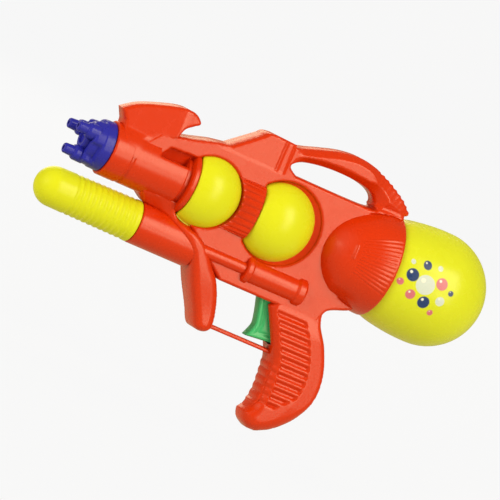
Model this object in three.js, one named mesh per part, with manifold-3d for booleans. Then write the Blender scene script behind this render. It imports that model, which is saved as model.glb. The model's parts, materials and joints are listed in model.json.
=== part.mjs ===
// A pump-action water squirter: two moulded shells on the plane y = 0, a screw-off tank, an air pump
// under the barrel, a trigger valve and a turning three-spout nozzle.
// Millimetres, +Z up, muzzle to -X, tank to +X, butt of the grip at z = 0.
import * as THREE from "three";
import { mergeVertices } from "three/addons/utils/BufferGeometryUtils.js";
import Module from "manifold-3d";

const wasm = await Module();
wasm.setup();

// Clearances and walls
const GAP = 0.3;
const WALL = 2;
const RIB = 2.4;

// Axes and the shell's main sizes
const AXIS_HEIGHT = 139.5;
const PUMP_DROP = 39;
const BODY_HALF = 12.5;
const FIN_HALF = 9.5;
const GRIP_HALF = 15;
const POST_HALF = 14;
const BARREL_FRONT = -132.5;
const BARREL_LENGTH = 56.5;
const BARREL_RADIUS = 19.6;
const COLLAR_RADIUS = 23;
const COLLAR_SET_BACK = 3.5;
const COLLAR_LENGTH = 3.9;
const BARREL_RIB_X = -94;
const CONNECTOR_RADIUS = 22.4;
const CONNECTOR_REAR = -15.6;
const CONNECTOR_FLUTES = 26;
const FLUTE_DEPTH = 0.8;

// Domes, seen from the side: centre, radius at the panel, height of the apex from the parting plane
const FRONT_DOME_X = -55.3;
const FRONT_DOME_RADIUS = 25.2;
const FRONT_DOME_APEX = 25.5;
const REAR_DOME_X = 1.7;
const REAR_DOME_RADIUS = 27.8;
const REAR_DOME_APEX = 27.3;
const DOME_WALL = 1.6;
const DOME_LIP = 2.5;

// Relief bars on the panels: a thin one, a thick one and the rings at its ends
const THIN_BAR = 4.4;
const THIN_BAR_FRONT = -42;
const THICK_BAR = 8.6;
const THICK_BAR_FRONT = -4;
const THICK_BAR_REAR = 38;
const BAR_RING = 1.4;

// Outlines in x and height above the barrel axis
const PANEL_FRONT = [-102, 8];
const RAIL = [[-93.7, 25], [-79, 29.5], [-64, 33.7], [-52.3, 35.8]];
const HUMP = [[-33.5, 51], [-30, 54.6], [-24.6, 54.8], [-8, 54.8]];
const CARRY = [[12.7, 59.6], [25.6, 62.6], [39.2, 63.8], [52, 62], [65.7, 57.5], [80.8, 49.5], [90.6, 40.8]];
const CARRY_HOLE_BASE = 34.2;
const CARRY_HOLE_ARCH = [[62, 34.2], [67, 39], [62.6, 45], [52, 48.8], [35, 50.2], [18.7, 49.8], [3.7, 47],
  [-5.3, 42.8], [-6.6, 38.4], [0, 34.2]];
const FIN_TOP = [[-134.5, 29.5], [-124, 36.5], [-108.9, 42.2], [-94, 46.2], [-84.6, 45.7], [-79, 40.8]];
const FIN_NECK = [[-83.1, 37.3], [-88.6, 33], [-91.5, 25.4]];
const FIN_FOOT = [[-91, 8], [-126, 8], [-130, 22.5]];
const PANEL_REAR = [[79.3, -36.6], [70, -41], [62, -47]];
const PANEL_BELLY = [[-44, -36], [-70, -14]];
const BAND_REAR = [[-32.5, -41.8], [-42, -32], [-58, -25]];
const BAND_FRONT = [[-80, -24], [-62.7, -30.6], [-55.2, -36.2], [-47.6, -44.6], [-43.9, -53]];
const BAND_TOP = [[-84, -14], [-60, -14]];

// Outlines in x and height above the pump axis
const PANEL_CHIN = [[56, -17.3], [26, -13.3], [-21.2, -13.3]];
const POST_FRONT = [[-37.9, -23.8], [-30.3, -35.7], [-25, -46.2], [-22, -50.9], [-17, -53.1]];
const POST_REAR = [[-12, -52.7], [-9, -48.5], [-10, -40.5], [-13.7, -30.8], [-17.4, -21.7], [-21.2, -13.3]];

// The grip in x and height above the butt, drawn for a pump axis at this height and stretched to the real one
const GRIP_DRAWN_TO = 100.5;
const GRIP_TOE = [[44, 0], [38.5, 4.6], [37, 11], [42.4, 21]];
const GRIP_FRONT = [[42.9, 30], [41.4, 48], [35.5, 70], [26, 86]];
const GRIP_TOP = [[34, 98], [50, 104], [60.6, 93]];
const GRIP_REAR = [[63.4, 85], [72.2, 71.8], [79.6, 54.3], [80.8, 36.8], [74.8, 20.7], [62.6, 7.4]];
const BUTT_CURVE = [57, 1.6];
const BUTT_LENGTH = 8;
const GRIP_RIBS = 11;
const GRIP_RIB_BASE = 27;
const GRIP_RIB_PITCH = 5.55;
const GRIP_GROOVE = 2.4;
const GRIP_GROOVE_DEPTH = 1.3;
const GRIP_RIB_MARGIN_FRONT = 5.8;
const GRIP_RIB_MARGIN_REAR = 9.8;

// Bar under the trigger, below the trigger's pin
const GUARD_DROP = 41.7;
const GUARD_FRONT = -12;
const GUARD_REAR = 44;
const GUARD_HALF_THICK = 1.5;
const GUARD_HALF_WIDE = 5;

// Cup and tank, about the barrel axis
const CUP_CENTRE = 84;
const CUP_LENGTH = 46.5;
const CUP_RADIUS = 37.8;
const CUP_RIM = 87;
const TANK_WAIST = 37;
const TANK_RADIUS = 41;
const TANK_CENTRE = 128;
const TANK_WALL = 1.8;
const NECK_RADIUS = 12;
const NECK_BORE = 9.5;
const NECK_FRONT = 50;
const NECK_LENGTH = 15;
const COLLAR_WALL = 2.7;
const GASKET_THICK = 2;
const PORT_OFFSET = 5;
const AIR_PORT_SIDE = 5.5;
const PORT_LENGTH = 6;

// Hoses and their spigots
const WATER_HOSE = 3.5;
const WATER_BORE = 2.3;
const AIR_HOSE = 2.6;
const AIR_BORE = 1.7;

// Pump
const HOUSING_RADIUS = 15.2;
const HOUSING_FRONT = -91.7;
const HOUSING_REAR = -45;
const PUMP_RIBS = [-84, -52, -22];
const HANDLE_LENGTH = 77;
const HANDLE_RADIUS = 15;
const HANDLE_NOSE = 14.2;
const HANDLE_RIBS = 11;
const HANDLE_RIB_PITCH = 4.4;
const HANDLE_RIB_DEPTH = 0.7;
const HANDLE_WALL = 2;
const BOSS_RADIUS = 6.4;
const ROD_RADIUS = 3.5;
const ROD_GRIP = 16;
const CYLINDER_RADIUS = 10;
const CYLINDER_BORE = 8.4;
const CYLINDER_REAR = -12;
const PISTON_LENGTH = 8;
const SEAL_LENGTH = 2.4;
const GLAND_LENGTH = 6;
const HEAD_PLUG = 6;
const HEAD_LENGTH = 11;
const BALL_RADIUS = 2;
const BALL_LIFT = 1.5;

// Trigger and valve
const PIVOT_X = 24;
const PIN_RADIUS = 1.75;
const TRIGGER_HALF = 5.2;
const TRIGGER_ARM_HALF = 2;
const TRIGGER_HUB = 5;
const TRIGGER_FRONT = [[-5.9, -10.2], [-2.8, -20], [-1.3, -26], [-2.3, -31], [-4.8, -35], [-5.2, -38.2]];
const TRIGGER_REAR = [[3, -37.4], [17, -36], [15.5, -27], [15.5, -20], [9, -13]];
const VALVE_OVER_PUMP = 18.5;
const VALVE_LIFT = 23;
const SPRING_SEAT_X = 54;
const VALVE_FRONT = -18;
const VALVE_LENGTH = 30;
const VALVE_RADIUS = 6;
const VALVE_BORE = 4.2;
const STEM_RADIUS = 1.8;
const SPRING_RADIUS = 3;
const SPRING_WIRE = 0.45;
const RETURN_SPRING_DROP = 24;

// Nozzle
const NOZZLE_BASE = 18.2;
const NOZZLE_BASE_LENGTH = 7;
const NOZZLE_HEAD = 16.4;
const NOZZLE_HEAD_LENGTH = 12.4;
const SPOUT_RADIUS = 3.6;
const SPOUT_LENGTH = 8.3;
const SPOUT_CIRCLE = 11.5;
const SPOUTS = 3;
const JET_BORE = 1.2;
const STUB_RADIUS = 5.5;
const STUB_FLANGE = 12;

// Screws: the line they are set from, x, height above that line
const SCREW_HEAD = 3.1;
const SCREW_SHANK = 1.3;
const SCREW_SEAT = 4.5;
const SCREW_REACH = 6.5;
const SCREW_BOSS = 4.8;
const SCREWS = [["axis", -107, 31], ["axis", -22, 43.5], ["axis", 77, 44], ["pump", 52, -3], ["butt", 66, 46],
  ["butt", 54, 14], ["pump", -16.5, -43.5], ["pump", -65, 16.9]];

// Worked out from the sizes above
const PUMP_HEIGHT = AXIS_HEIGHT - PUMP_DROP;
const VALVE_HEIGHT = PUMP_HEIGHT + VALVE_OVER_PUMP;
const PIVOT_HEIGHT = VALVE_HEIGHT - VALVE_LIFT;
const GUARD_HEIGHT = PIVOT_HEIGHT - GUARD_DROP;
const DATUM = { axis: AXIS_HEIGHT, pump: PUMP_HEIGHT, butt: 0 };
const SCREW_PLACES = SCREWS.map(([from, x, z]) => [x, z + DATUM[from]]);
const BARREL_REAR = BARREL_FRONT + BARREL_LENGTH;
const COLLAR_FRONT = BARREL_REAR + COLLAR_SET_BACK;
const COLLAR_REAR = COLLAR_FRONT + COLLAR_LENGTH;
const INNER_HALF = BODY_HALF - WALL;
const HANDLE_REAR = HOUSING_FRONT - GAP;
const HANDLE_FRONT = HANDLE_REAR - HANDLE_LENGTH;
const PISTON_REAR = CYLINDER_REAR - HEAD_PLUG - 2;
const TANK_COLLAR_FRONT = NECK_FRONT - GAP - GASKET_THICK - GAP - COLLAR_WALL;
const TANK_COLLAR_REAR = NECK_FRONT + NECK_LENGTH - 3;
const TANK_COLLAR_RADIUS = NECK_RADIUS + GAP + COLLAR_WALL;
const TRIGGER_ARM_FRONT = PIVOT_X - 3;
const QUARTER = Math.PI / 2;
const LONG = 400;

const RED = { color: 0xd9260d, roughness: 0.35, metalness: 0 };
const YELLOW = { color: 0xe6e01e, roughness: 0.35, metalness: 0 };
const BLUE = { color: 0x2a2a90, roughness: 0.35, metalness: 0 };
const GREEN = { color: 0x2a9a4c, roughness: 0.4, metalness: 0 };
const WHITE = { color: 0xe6e6e0, roughness: 0.45, metalness: 0 };
const CLEAR = { color: 0xcfd8da, roughness: 0.3, metalness: 0 };
const RUBBER = { color: 0x1c1c1c, roughness: 0.8, metalness: 0 };
const STEEL = { color: 0xb4b6b8, roughness: 0.3, metalness: 1 };

// A closed three.js surface as a solid, turned outside-in if its profile ran the other way.
function solid(geometry) {
  geometry.deleteAttribute("normal");
  geometry.deleteAttribute("uv");
  const welded = mergeVertices(geometry, 1e-4);
  const index = welded.index.array;
  const build = (flip) => {
    const faces = [];
    for (let i = 0; i < index.length; i += 3) {
      const [a, b, c] = [index[i], index[i + 1], index[i + 2]];
      if (a !== b && b !== c && c !== a) faces.push(...(flip ? [a, c, b] : [a, b, c]));
    }
    return new wasm.Manifold(new wasm.Mesh({
      numProp: 3,
      vertProperties: new Float32Array(welded.attributes.position.array),
      triVerts: new Uint32Array(faces),
    }));
  };
  const made = build(false);
  return made.volume() < 0 ? build(true) : made;
}

function join(...solids) {
  return solids.reduce((all, next) => all.add(next));
}

function cut(first, ...others) {
  return others.reduce((left, next) => left.subtract(next), first);
}

// A surface of revolution about the x axis from [x, radius] points.
function turned(profile, sides = 32) {
  const points = profile.map(([x, r]) => new THREE.Vector2(r, x));
  return solid(new THREE.LatheGeometry(points, sides).rotateZ(-QUARTER));
}

// A round bar along x at a place across and up.
function rod(x0, x1, radius, sides = 16, y = 0, z = 0) {
  const bar = new THREE.CylinderGeometry(radius, radius, x1 - x0, sides).rotateZ(QUARTER);
  return solid(bar.translate((x0 + x1) / 2, y, z));
}

// A round bar across the part, along y.
function cross(y0, y1, radius, x, z, sides = 16) {
  return solid(new THREE.CylinderGeometry(radius, radius, y1 - y0, sides).translate(x, (y0 + y1) / 2, z));
}

function block(x0, x1, y0, y1, z0, z1) {
  const box = new THREE.BoxGeometry(x1 - x0, y1 - y0, z1 - z0);
  return solid(box.translate((x0 + x1) / 2, (y0 + y1) / 2, (z0 + z1) / 2));
}

// Points of a closed path without repeats.
function path(draw, steps = 2) {
  const shape = new THREE.Shape();
  draw(shape);
  const points = shape.getPoints(steps);
  return points.filter((p, i) => p.distanceTo(points[(i + 1) % points.length]) > 1e-3);
}

function raised(points, height) {
  return points.map(([x, z]) => [x, z + height]);
}

function stretched(points) {
  return points.map(([x, z]) => [x, (z * PUMP_HEIGHT) / GRIP_DRAWN_TO]);
}

function through(shape, points) {
  shape.splineThru(points.map(([x, z]) => new THREE.Vector2(x, z)));
}

// The outline moved inwards by a distance. Edges that the move turns round are dropped, shortest bends first.
function inset(points, distance) {
  const turn = THREE.ShapeUtils.isClockWise(points) ? -1 : 1;
  let kept = points.slice();
  for (;;) {
    const count = kept.length;
    const moved = kept.map((p, i) => {
      const before = kept[(i + count - 1) % count];
      const after = kept[(i + 1) % count];
      const a = new THREE.Vector2(before.y - p.y, p.x - before.x).normalize();
      const b = new THREE.Vector2(p.y - after.y, after.x - p.x).normalize();
      const reach = (turn * distance) / Math.max(0.5, 1 + a.dot(b));
      return new THREE.Vector2(p.x + (a.x + b.x) * reach, p.y + (a.y + b.y) * reach);
    });
    const turned = kept.findIndex((p, i) => {
      const next = (i + 1) % count;
      const was = kept[next].clone().sub(p);
      return was.dot(moved[next].clone().sub(moved[i])) < 0.05 * was.length();
    });
    if (turned < 0) return moved;
    kept = kept.filter((_, i) => i !== turned);
  }
}

// An outline in x and z made thick across y, with rounded edges, at a height.
function slab(outline, half, { round = 0, hole = null, lift = 0, segments = 2 } = {}) {
  const shape = new THREE.Shape(outline);
  if (hole) shape.holes.push(new THREE.Path(hole));
  const geometry = new THREE.ExtrudeGeometry(shape, {
    depth: 2 * (half - round),
    bevelEnabled: round > 0,
    bevelThickness: round,
    bevelSize: round,
    bevelOffset: -round,
    bevelSegments: segments,
  });
  return solid(geometry.rotateX(QUARTER).translate(0, half - round, lift));
}

// A hose along a smooth path of [x, y, z] points.
function hose(points, outer, bore, steps = 11, sides = 6) {
  const ring = (radius) => Array.from({ length: sides }, (_, i) => new THREE.Vector2(
    radius * Math.cos((2 * Math.PI * i) / sides), radius * Math.sin((2 * Math.PI * i) / sides)));
  const section = new THREE.Shape(ring(outer));
  section.holes.push(new THREE.Path(ring(bore / Math.cos(Math.PI / sides))));
  const run = new THREE.CatmullRomCurve3(points.map((p) => new THREE.Vector3(...p)));
  return solid(new THREE.ExtrudeGeometry(section, { steps, extrudePath: run }));
}

class Coil extends THREE.Curve {
  constructor(x0, x1, radius, turns) {
    super();
    Object.assign(this, { x0, x1, radius, turns });
  }

  getPoint(t, target = new THREE.Vector3()) {
    const angle = 2 * Math.PI * this.turns * t;
    const x = this.x0 + (this.x1 - this.x0) * t;
    return target.set(x, this.radius * Math.cos(angle), this.radius * Math.sin(angle));
  }
}

// A wound spring along x, one unbroken wire.
function spring(x0, x1, radius, wire, turns) {
  const section = new THREE.Shape(Array.from({ length: 5 }, (_, i) => new THREE.Vector2(
    wire * Math.cos((2 * Math.PI * i) / 5), wire * Math.sin((2 * Math.PI * i) / 5))));
  const run = new Coil(x0 + wire, x1 - wire, radius, turns);
  return solid(new THREE.ExtrudeGeometry(section, { steps: 8 * turns, extrudePath: run }));
}

const part = new THREE.Group();
const lines = {};

// A group at a height, so that what turns on one axis is drawn about that axis.
function line(name, x, z) {
  lines[name] = new THREE.Group();
  lines[name].position.set(x, 0, z);
  part.add(lines[name]);
}

function place(name, shape, finish, group = part) {
  const { vertProperties, triVerts } = shape.getMesh();
  const geometry = new THREE.BufferGeometry();
  geometry.setAttribute("position", new THREE.BufferAttribute(new Float32Array(vertProperties), 3));
  geometry.setIndex(new THREE.BufferAttribute(new Uint32Array(triVerts), 1));
  const mesh = new THREE.Mesh(geometry, new THREE.MeshStandardMaterial(finish));
  mesh.name = name;
  group.add(mesh);
}

line("barrel", 0, AXIS_HEIGHT);
line("pump", 0, PUMP_HEIGHT);
line("valve", 0, VALVE_HEIGHT);
line("pivot", PIVOT_X, PIVOT_HEIGHT);

// Outlines of the shell, about the barrel axis
const panelOutline = path((s) => {
  s.moveTo(...PANEL_FRONT);
  s.lineTo(...RAIL[0]);
  through(s, RAIL.slice(1));
  s.lineTo(...HUMP[0]);
  s.quadraticCurveTo(...HUMP[1], ...HUMP[2]);
  s.lineTo(...HUMP[3]);
  through(s, CARRY);
  s.lineTo(CUP_RIM - 0.5, CUP_RADIUS + 1.4);
  s.lineTo(CUP_RIM - 0.5, CUP_RADIUS - 3);
  s.lineTo(CUP_CENTRE - CUP_LENGTH / 3, 0);
  s.lineTo(...PANEL_REAR[0]);
  s.quadraticCurveTo(...PANEL_REAR[1], ...PANEL_REAR[2]);
  for (const point of [...raised(PANEL_CHIN, -PUMP_DROP), ...PANEL_BELLY]) s.lineTo(...point);
});
const holeOutline = path((s) => {
  s.moveTo(0, CARRY_HOLE_BASE);
  s.lineTo(...CARRY_HOLE_ARCH[0]);
  through(s, CARRY_HOLE_ARCH.slice(1));
}, 2);
const finOutline = path((s) => {
  s.moveTo(...FIN_TOP[0]);
  through(s, [...FIN_TOP.slice(1), ...FIN_NECK]);
  for (const point of FIN_FOOT) s.lineTo(...point);
}, 2);
const gripToe = stretched(GRIP_TOE);
const gripFront = [gripToe.at(-1), ...stretched(GRIP_FRONT)];
const gripRear = stretched(GRIP_REAR);
const gripOutline = path((s) => {
  s.moveTo(...gripToe[0]);
  through(s, gripToe.slice(1));
  through(s, gripFront.slice(1));
  for (const point of stretched(GRIP_TOP)) s.lineTo(...point);
  through(s, gripRear);
  s.quadraticCurveTo(...BUTT_CURVE, gripToe[0][0] + BUTT_LENGTH, 0);
}, 2);
const postOutline = path((s) => {
  const [first, last] = raised(BAND_TOP, AXIS_HEIGHT);
  s.moveTo(...first);
  through(s, [...raised(BAND_FRONT, AXIS_HEIGHT), ...raised(POST_FRONT, PUMP_HEIGHT),
    ...raised(POST_REAR, PUMP_HEIGHT), ...raised(BAND_REAR, AXIS_HEIGHT)]);
  s.lineTo(...last);
}, 2);

// The half ellipse of the cup, from its closed front to the rim, moved inwards by a distance.
function cupProfile(distance, steps) {
  const length = CUP_LENGTH - distance;
  const radius = CUP_RADIUS - distance;
  const points = [];
  for (let i = 0; i <= steps; i += 1) {
    const angle = (i / steps) * QUARTER;
    points.push([CUP_CENTRE - length * Math.cos(angle), radius * Math.sin(angle)]);
  }
  points[0][1] = 0;
  return points;
}

// A dome's cap as a ball part above a depth, grown by a distance; the side is -1 left or +1 right.
function capProfile(radius, apex, distance, base, steps) {
  const centre = (apex ** 2 - BODY_HALF ** 2 - radius ** 2) / (2 * (apex - BODY_HALF));
  const ball = apex - centre + distance;
  const end = Math.acos((base - centre) / ball);
  return Array.from({ length: steps + 1 }, (_, i) => {
    const angle = (end * i) / steps;
    return [i === 0 ? 0 : ball * Math.sin(angle), centre + ball * Math.cos(angle)];
  });
}

function capped(profile, side, x, sides = 18) {
  const points = profile.map(([r, y]) => new THREE.Vector2(r, side * y));
  return solid(new THREE.LatheGeometry(points, sides).translate(x, 0, AXIS_HEIGHT));
}

// What lies outside the shell's wall ahead of a place: there the collar or the connector stands in a dome's way.
function ahead(side, rear) {
  const [y0, y1] = side < 0 ? [-LONG, -INNER_HALF] : [INNER_HALF, LONG];
  return block(-LONG, rear, y0, y1, -LONG, LONG);
}

function dome(side, { x, radius, apex, coverRear }) {
  const seat = INNER_HALF - GAP;
  const outer = capProfile(radius, apex, 0, seat, 4);
  const inner = capProfile(radius, apex, -DOME_WALL, seat - DOME_WALL, 2);
  const lip = radius + DOME_LIP;
  const whole = capped([...outer, [lip, seat], [lip, seat - DOME_WALL], ...inner.reverse()], side, x);
  return whole.subtract(ahead(side, coverRear + GAP));
}

function domeSeat(side, { x, radius, apex, coverRear }) {
  const cap = capProfile(radius, apex, GAP, INNER_HALF - 1, 4);
  const lip = radius + DOME_LIP + GAP;
  const under = INNER_HALF - 2 * GAP - DOME_WALL;
  const opening = capped([...cap, [0, INNER_HALF - 1]], side, x).subtract(ahead(side, coverRear));
  return opening.add(capped([[0, INNER_HALF], [lip, INNER_HALF], [lip, under], [0, under]], side, x));
}

// The wall beside a dome where the fluted connector stops short of it.
function domeWell(side, x, radius) {
  const [y0, y1] = side < 0 ? [-LONG, -BODY_HALF] : [BODY_HALF, LONG];
  return cross(y0, y1, radius + 1.2, x, AXIS_HEIGHT, 24).intersect(block(x, x + LONG, -LONG, LONG, 0, LONG));
}

function connector(radius, depth, x0, x1) {
  const points = [];
  for (let i = 0; i < CONNECTOR_FLUTES * 2; i += 1) {
    const angle = (Math.PI * (i + 0.5)) / CONNECTOR_FLUTES;
    const reach = radius - (i % 2) * depth;
    points.push(new THREE.Vector2(reach * Math.cos(angle), reach * Math.sin(angle)));
  }
  const geometry = new THREE.ExtrudeGeometry(new THREE.Shape(points), { depth: x1 - x0, bevelEnabled: false });
  return solid(geometry.rotateY(QUARTER).translate(x0, 0, AXIS_HEIGHT));
}

function atAxis(profile, sides = 24) {
  const points = profile.map(([x, r]) => new THREE.Vector2(r, x));
  return solid(new THREE.LatheGeometry(points, sides).rotateZ(-QUARTER).translate(0, 0, AXIS_HEIGHT));
}

// Shell, outside: every raised form joined
const DOMES = [
  { name: "front", x: FRONT_DOME_X, radius: FRONT_DOME_RADIUS, apex: FRONT_DOME_APEX, coverRear: COLLAR_REAR },
  { name: "rear", x: REAR_DOME_X, radius: REAR_DOME_RADIUS, apex: REAR_DOME_APEX, coverRear: CONNECTOR_REAR },
];
const cupOuter = cupProfile(0, 6);
const cupInner = cupProfile(WALL, 5);
const reliefHeight = PUMP_HEIGHT + 1;
let outside = join(
  slab(panelOutline, BODY_HALF, { round: 1.5, hole: holeOutline, lift: AXIS_HEIGHT, segments: 1 }),
  slab(finOutline, FIN_HALF, { round: 1.5, lift: AXIS_HEIGHT, segments: 1 }),
  slab(gripOutline, GRIP_HALF, { round: 4, segments: 1 }),
  slab(postOutline, POST_HALF, { round: 3.5, segments: 1 }),
  rod(BARREL_FRONT, BARREL_REAR, BARREL_RADIUS, 24, 0, AXIS_HEIGHT),
  rod(BARREL_REAR - 1, COLLAR_FRONT + 1, BARREL_RADIUS - 1.6, 24, 0, AXIS_HEIGHT),
  rod(COLLAR_FRONT, COLLAR_REAR, COLLAR_RADIUS, 28, 0, AXIS_HEIGHT),
  connector(CONNECTOR_RADIUS, FLUTE_DEPTH, FRONT_DOME_X + FRONT_DOME_RADIUS / 2, CONNECTOR_REAR),
  atAxis([...cupOuter, [CUP_RIM, CUP_RADIUS], [CUP_RIM, 0]]),
  rod(HOUSING_FRONT, HOUSING_REAR, HOUSING_RADIUS, 24, 0, PUMP_HEIGHT),
  block(GUARD_FRONT, GUARD_REAR, -GUARD_HALF_WIDE, GUARD_HALF_WIDE,
    GUARD_HEIGHT - GUARD_HALF_THICK, GUARD_HEIGHT + GUARD_HALF_THICK),
);
for (const side of [-1, 1]) {
  outside = join(
    outside,
    rod(THIN_BAR_FRONT, THICK_BAR_FRONT + 2, THIN_BAR, 8, side * (BODY_HALF - 1), reliefHeight),
    rod(THICK_BAR_FRONT, THICK_BAR_REAR, THICK_BAR, 12, side * (BODY_HALF - 3.4), reliefHeight),
    rod(THICK_BAR_FRONT - 3, THICK_BAR_FRONT + 1, THICK_BAR + BAR_RING, 12, side * (BODY_HALF - 3.4), reliefHeight),
    rod(THICK_BAR_REAR - 4, THICK_BAR_REAR + 2, THICK_BAR + BAR_RING, 12, side * (BODY_HALF - 3.4), reliefHeight),
  );
}

// Shell, inside: the hollow, less the ribs and bosses that stay standing in it
const hollow = join(
  slab(inset(panelOutline, WALL), INNER_HALF, { hole: inset(holeOutline, -WALL), lift: AXIS_HEIGHT }),
  slab(inset(finOutline, WALL), FIN_HALF - WALL, { lift: AXIS_HEIGHT }),
  slab(inset(gripOutline, WALL + 1), GRIP_HALF - WALL - 1),
  slab(inset(postOutline, WALL + 1), POST_HALF - WALL - 1),
  rod(BARREL_FRONT + WALL, COLLAR_REAR + 1, BARREL_RADIUS - WALL - 1.2, 20, 0, AXIS_HEIGHT),
  rod(FRONT_DOME_X + FRONT_DOME_RADIUS + 1.2 + WALL, REAR_DOME_X, CONNECTOR_RADIUS - WALL - FLUTE_DEPTH, 20, 0,
    AXIS_HEIGHT),
  rod(HOUSING_FRONT + WALL + 1, HOUSING_REAR + 5, HOUSING_RADIUS - WALL, 16, 0, PUMP_HEIGHT),
);
const valveRibs = [VALVE_FRONT + 5, VALVE_FRONT + 19];
const standing = join(
  block(BARREL_FRONT, BARREL_FRONT + 12, -LONG, LONG, AXIS_HEIGHT - 18, AXIS_HEIGHT + 18),
  block(BARREL_RIB_X, BARREL_RIB_X + RIB, -LONG, LONG, AXIS_HEIGHT - 18, AXIS_HEIGHT + 18),
  ...PUMP_RIBS.map((x) => block(x, x + RIB, -LONG, LONG, PUMP_HEIGHT - 17, PUMP_HEIGHT + 13)),
  ...valveRibs.map((x) => block(x, x + RIB, -INNER_HALF - 1, INNER_HALF + 1, VALVE_HEIGHT - 8, VALVE_HEIGHT + 4)),
  block(TANK_COLLAR_FRONT + COLLAR_WALL + GAP, TANK_COLLAR_FRONT + COLLAR_WALL + GAP + RIB, -LONG, LONG,
    AXIS_HEIGHT - 28, AXIS_HEIGHT + 28),
  block(TANK_COLLAR_FRONT - GAP - RIB, TANK_COLLAR_FRONT - GAP, -LONG, LONG, AXIS_HEIGHT - 26, AXIS_HEIGHT + 26),
  block(SPRING_SEAT_X, SPRING_SEAT_X + RIB, -LONG, LONG, PIVOT_HEIGHT - RETURN_SPRING_DROP - 6, PIVOT_HEIGHT - RETURN_SPRING_DROP + 6),
  cross(-LONG, -TRIGGER_HALF - GAP, 4, PIVOT_X, PIVOT_HEIGHT, 10),
  cross(TRIGGER_HALF + GAP, LONG, 4, PIVOT_X, PIVOT_HEIGHT, 10),
  ...SCREW_PLACES.map(([x, z]) => cross(-LONG, LONG, SCREW_BOSS, x, z, 8)),
);

// What the shell leaves free for the pieces in it
const stubRear = BARREL_FRONT + 9;
const free = [
  atAxis([...cupInner, [CUP_RIM + 1, CUP_RADIUS - WALL], [CUP_RIM + 1, 0]]).intersect(
    block(TANK_COLLAR_REAR + GAP, LONG, -LONG, LONG, 0, LONG)),
  rod(BARREL_FRONT - 1, stubRear + 10, STUB_RADIUS + GAP, 14, 0, AXIS_HEIGHT),
  rod(stubRear - 3 - GAP, stubRear + GAP, STUB_FLANGE + GAP, 20, 0, AXIS_HEIGHT),
  rod(BARREL_RIB_X - 6, BARREL_RIB_X + 14, WATER_HOSE + GAP, 8, 0, AXIS_HEIGHT),
  rod(HOUSING_FRONT - 1, HOUSING_FRONT + WALL + 2, ROD_RADIUS + 1, 12, 0, PUMP_HEIGHT),
  rod(HOUSING_FRONT + WALL + 1, CYLINDER_REAR + 1, CYLINDER_RADIUS + GAP, 18, 0, PUMP_HEIGHT),
  rod(VALVE_FRONT - 4, VALVE_FRONT + VALVE_LENGTH + 4, VALVE_RADIUS + GAP, 14, 0, VALVE_HEIGHT),
  rod(TANK_COLLAR_FRONT - 8, TANK_COLLAR_FRONT - GAP / 2, TANK_COLLAR_RADIUS - 3, 14, 0, AXIS_HEIGHT),
  rod(TANK_COLLAR_FRONT - GAP, TANK_COLLAR_FRONT + COLLAR_WALL + GAP, TANK_COLLAR_RADIUS + 4 + GAP, 20, 0, AXIS_HEIGHT),
  rod(TANK_COLLAR_FRONT, TANK_COLLAR_REAR + 1, TANK_COLLAR_RADIUS + GAP, 20, 0, AXIS_HEIGHT),
  block(PIVOT_X - 7.5, SPRING_SEAT_X - 4.5, -TRIGGER_HALF - 0.6, TRIGGER_HALF + 0.6, GUARD_HEIGHT + 2.7, PIVOT_HEIGHT - 3),
  cross(-INNER_HALF + 1 - GAP, INNER_HALF - 1 + GAP, PIN_RADIUS + GAP / 2, PIVOT_X, PIVOT_HEIGHT, 10),
];
for (const spec of DOMES) {
  for (const side of [-1, 1]) free.push(domeSeat(side, spec));
}
for (const side of [-1, 1]) free.push(domeWell(side, FRONT_DOME_X, FRONT_DOME_RADIUS));

// Grooves across the sides of the grip, between its front and rear edges
function gripEdge(points, z) {
  const next = points.findIndex((point, i) => i > 0 && (point[1] - z) * (points[i - 1][1] - z) <= 0);
  const [[x0, z0], [x1, z1]] = [points[next - 1], points[next]];
  return x0 + ((x1 - x0) * (z - z0)) / (z1 - z0);
}
for (let i = 0; i < GRIP_RIBS; i += 1) {
  const [[, z]] = stretched([[0, GRIP_RIB_BASE + i * GRIP_RIB_PITCH]]);
  const x0 = gripEdge(gripFront, z) + GRIP_RIB_MARGIN_FRONT;
  const x1 = gripEdge(gripRear, z) - GRIP_RIB_MARGIN_REAR;
  const [z0, z1] = [z - GRIP_GROOVE / 2, z + GRIP_GROOVE / 2];
  free.push(block(x0, x1, -LONG, GRIP_GROOVE_DEPTH - GRIP_HALF, z0, z1));
  free.push(block(x0, x1, GRIP_HALF - GRIP_GROOVE_DEPTH, LONG, z0, z1));
}

const shells = cut(outside, hollow.subtract(standing), ...free);
const leftHoles = SCREW_PLACES.map(([x, z]) => cross(-SCREW_REACH - 1, 1, SCREW_SHANK + GAP / 2, x, z, 8));
const rightHoles = SCREW_PLACES.flatMap(([x, z]) => [
  cross(-1, SCREW_SEAT + 1, SCREW_SHANK + GAP, x, z, 8),
  cross(SCREW_SEAT, LONG, SCREW_HEAD + GAP, x, z, 10),
]);
const leftSide = block(-LONG, LONG, -LONG, 0, -LONG, LONG);
const rightSide = block(-LONG, LONG, 0, LONG, -LONG, LONG);
// The largest body of a solid, without any sliver that a cut left loose.
function largest(shape) {
  return shape.decompose().reduce((a, b) => (b.volume() > a.volume() ? b : a));
}
place("left_shell", largest(cut(shells.intersect(leftSide), ...leftHoles)), RED);
place("right_shell", largest(cut(shells.intersect(rightSide), ...rightHoles)), RED);

// The lips of neighbouring domes are trimmed where they would meet.
const domesMeet = (FRONT_DOME_X + FRONT_DOME_RADIUS + REAR_DOME_X - REAR_DOME_RADIUS) / 2;
for (const spec of DOMES) {
  const [x0, x1] = spec.name === "front" ? [-LONG, domesMeet - GAP / 2] : [domesMeet + GAP / 2, LONG];
  const room = block(x0, x1, -LONG, LONG, -LONG, LONG);
  place(`left_${spec.name}_dome`, dome(-1, spec).intersect(room), YELLOW);
  place(`right_${spec.name}_dome`, dome(1, spec).intersect(room), YELLOW);
}

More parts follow.
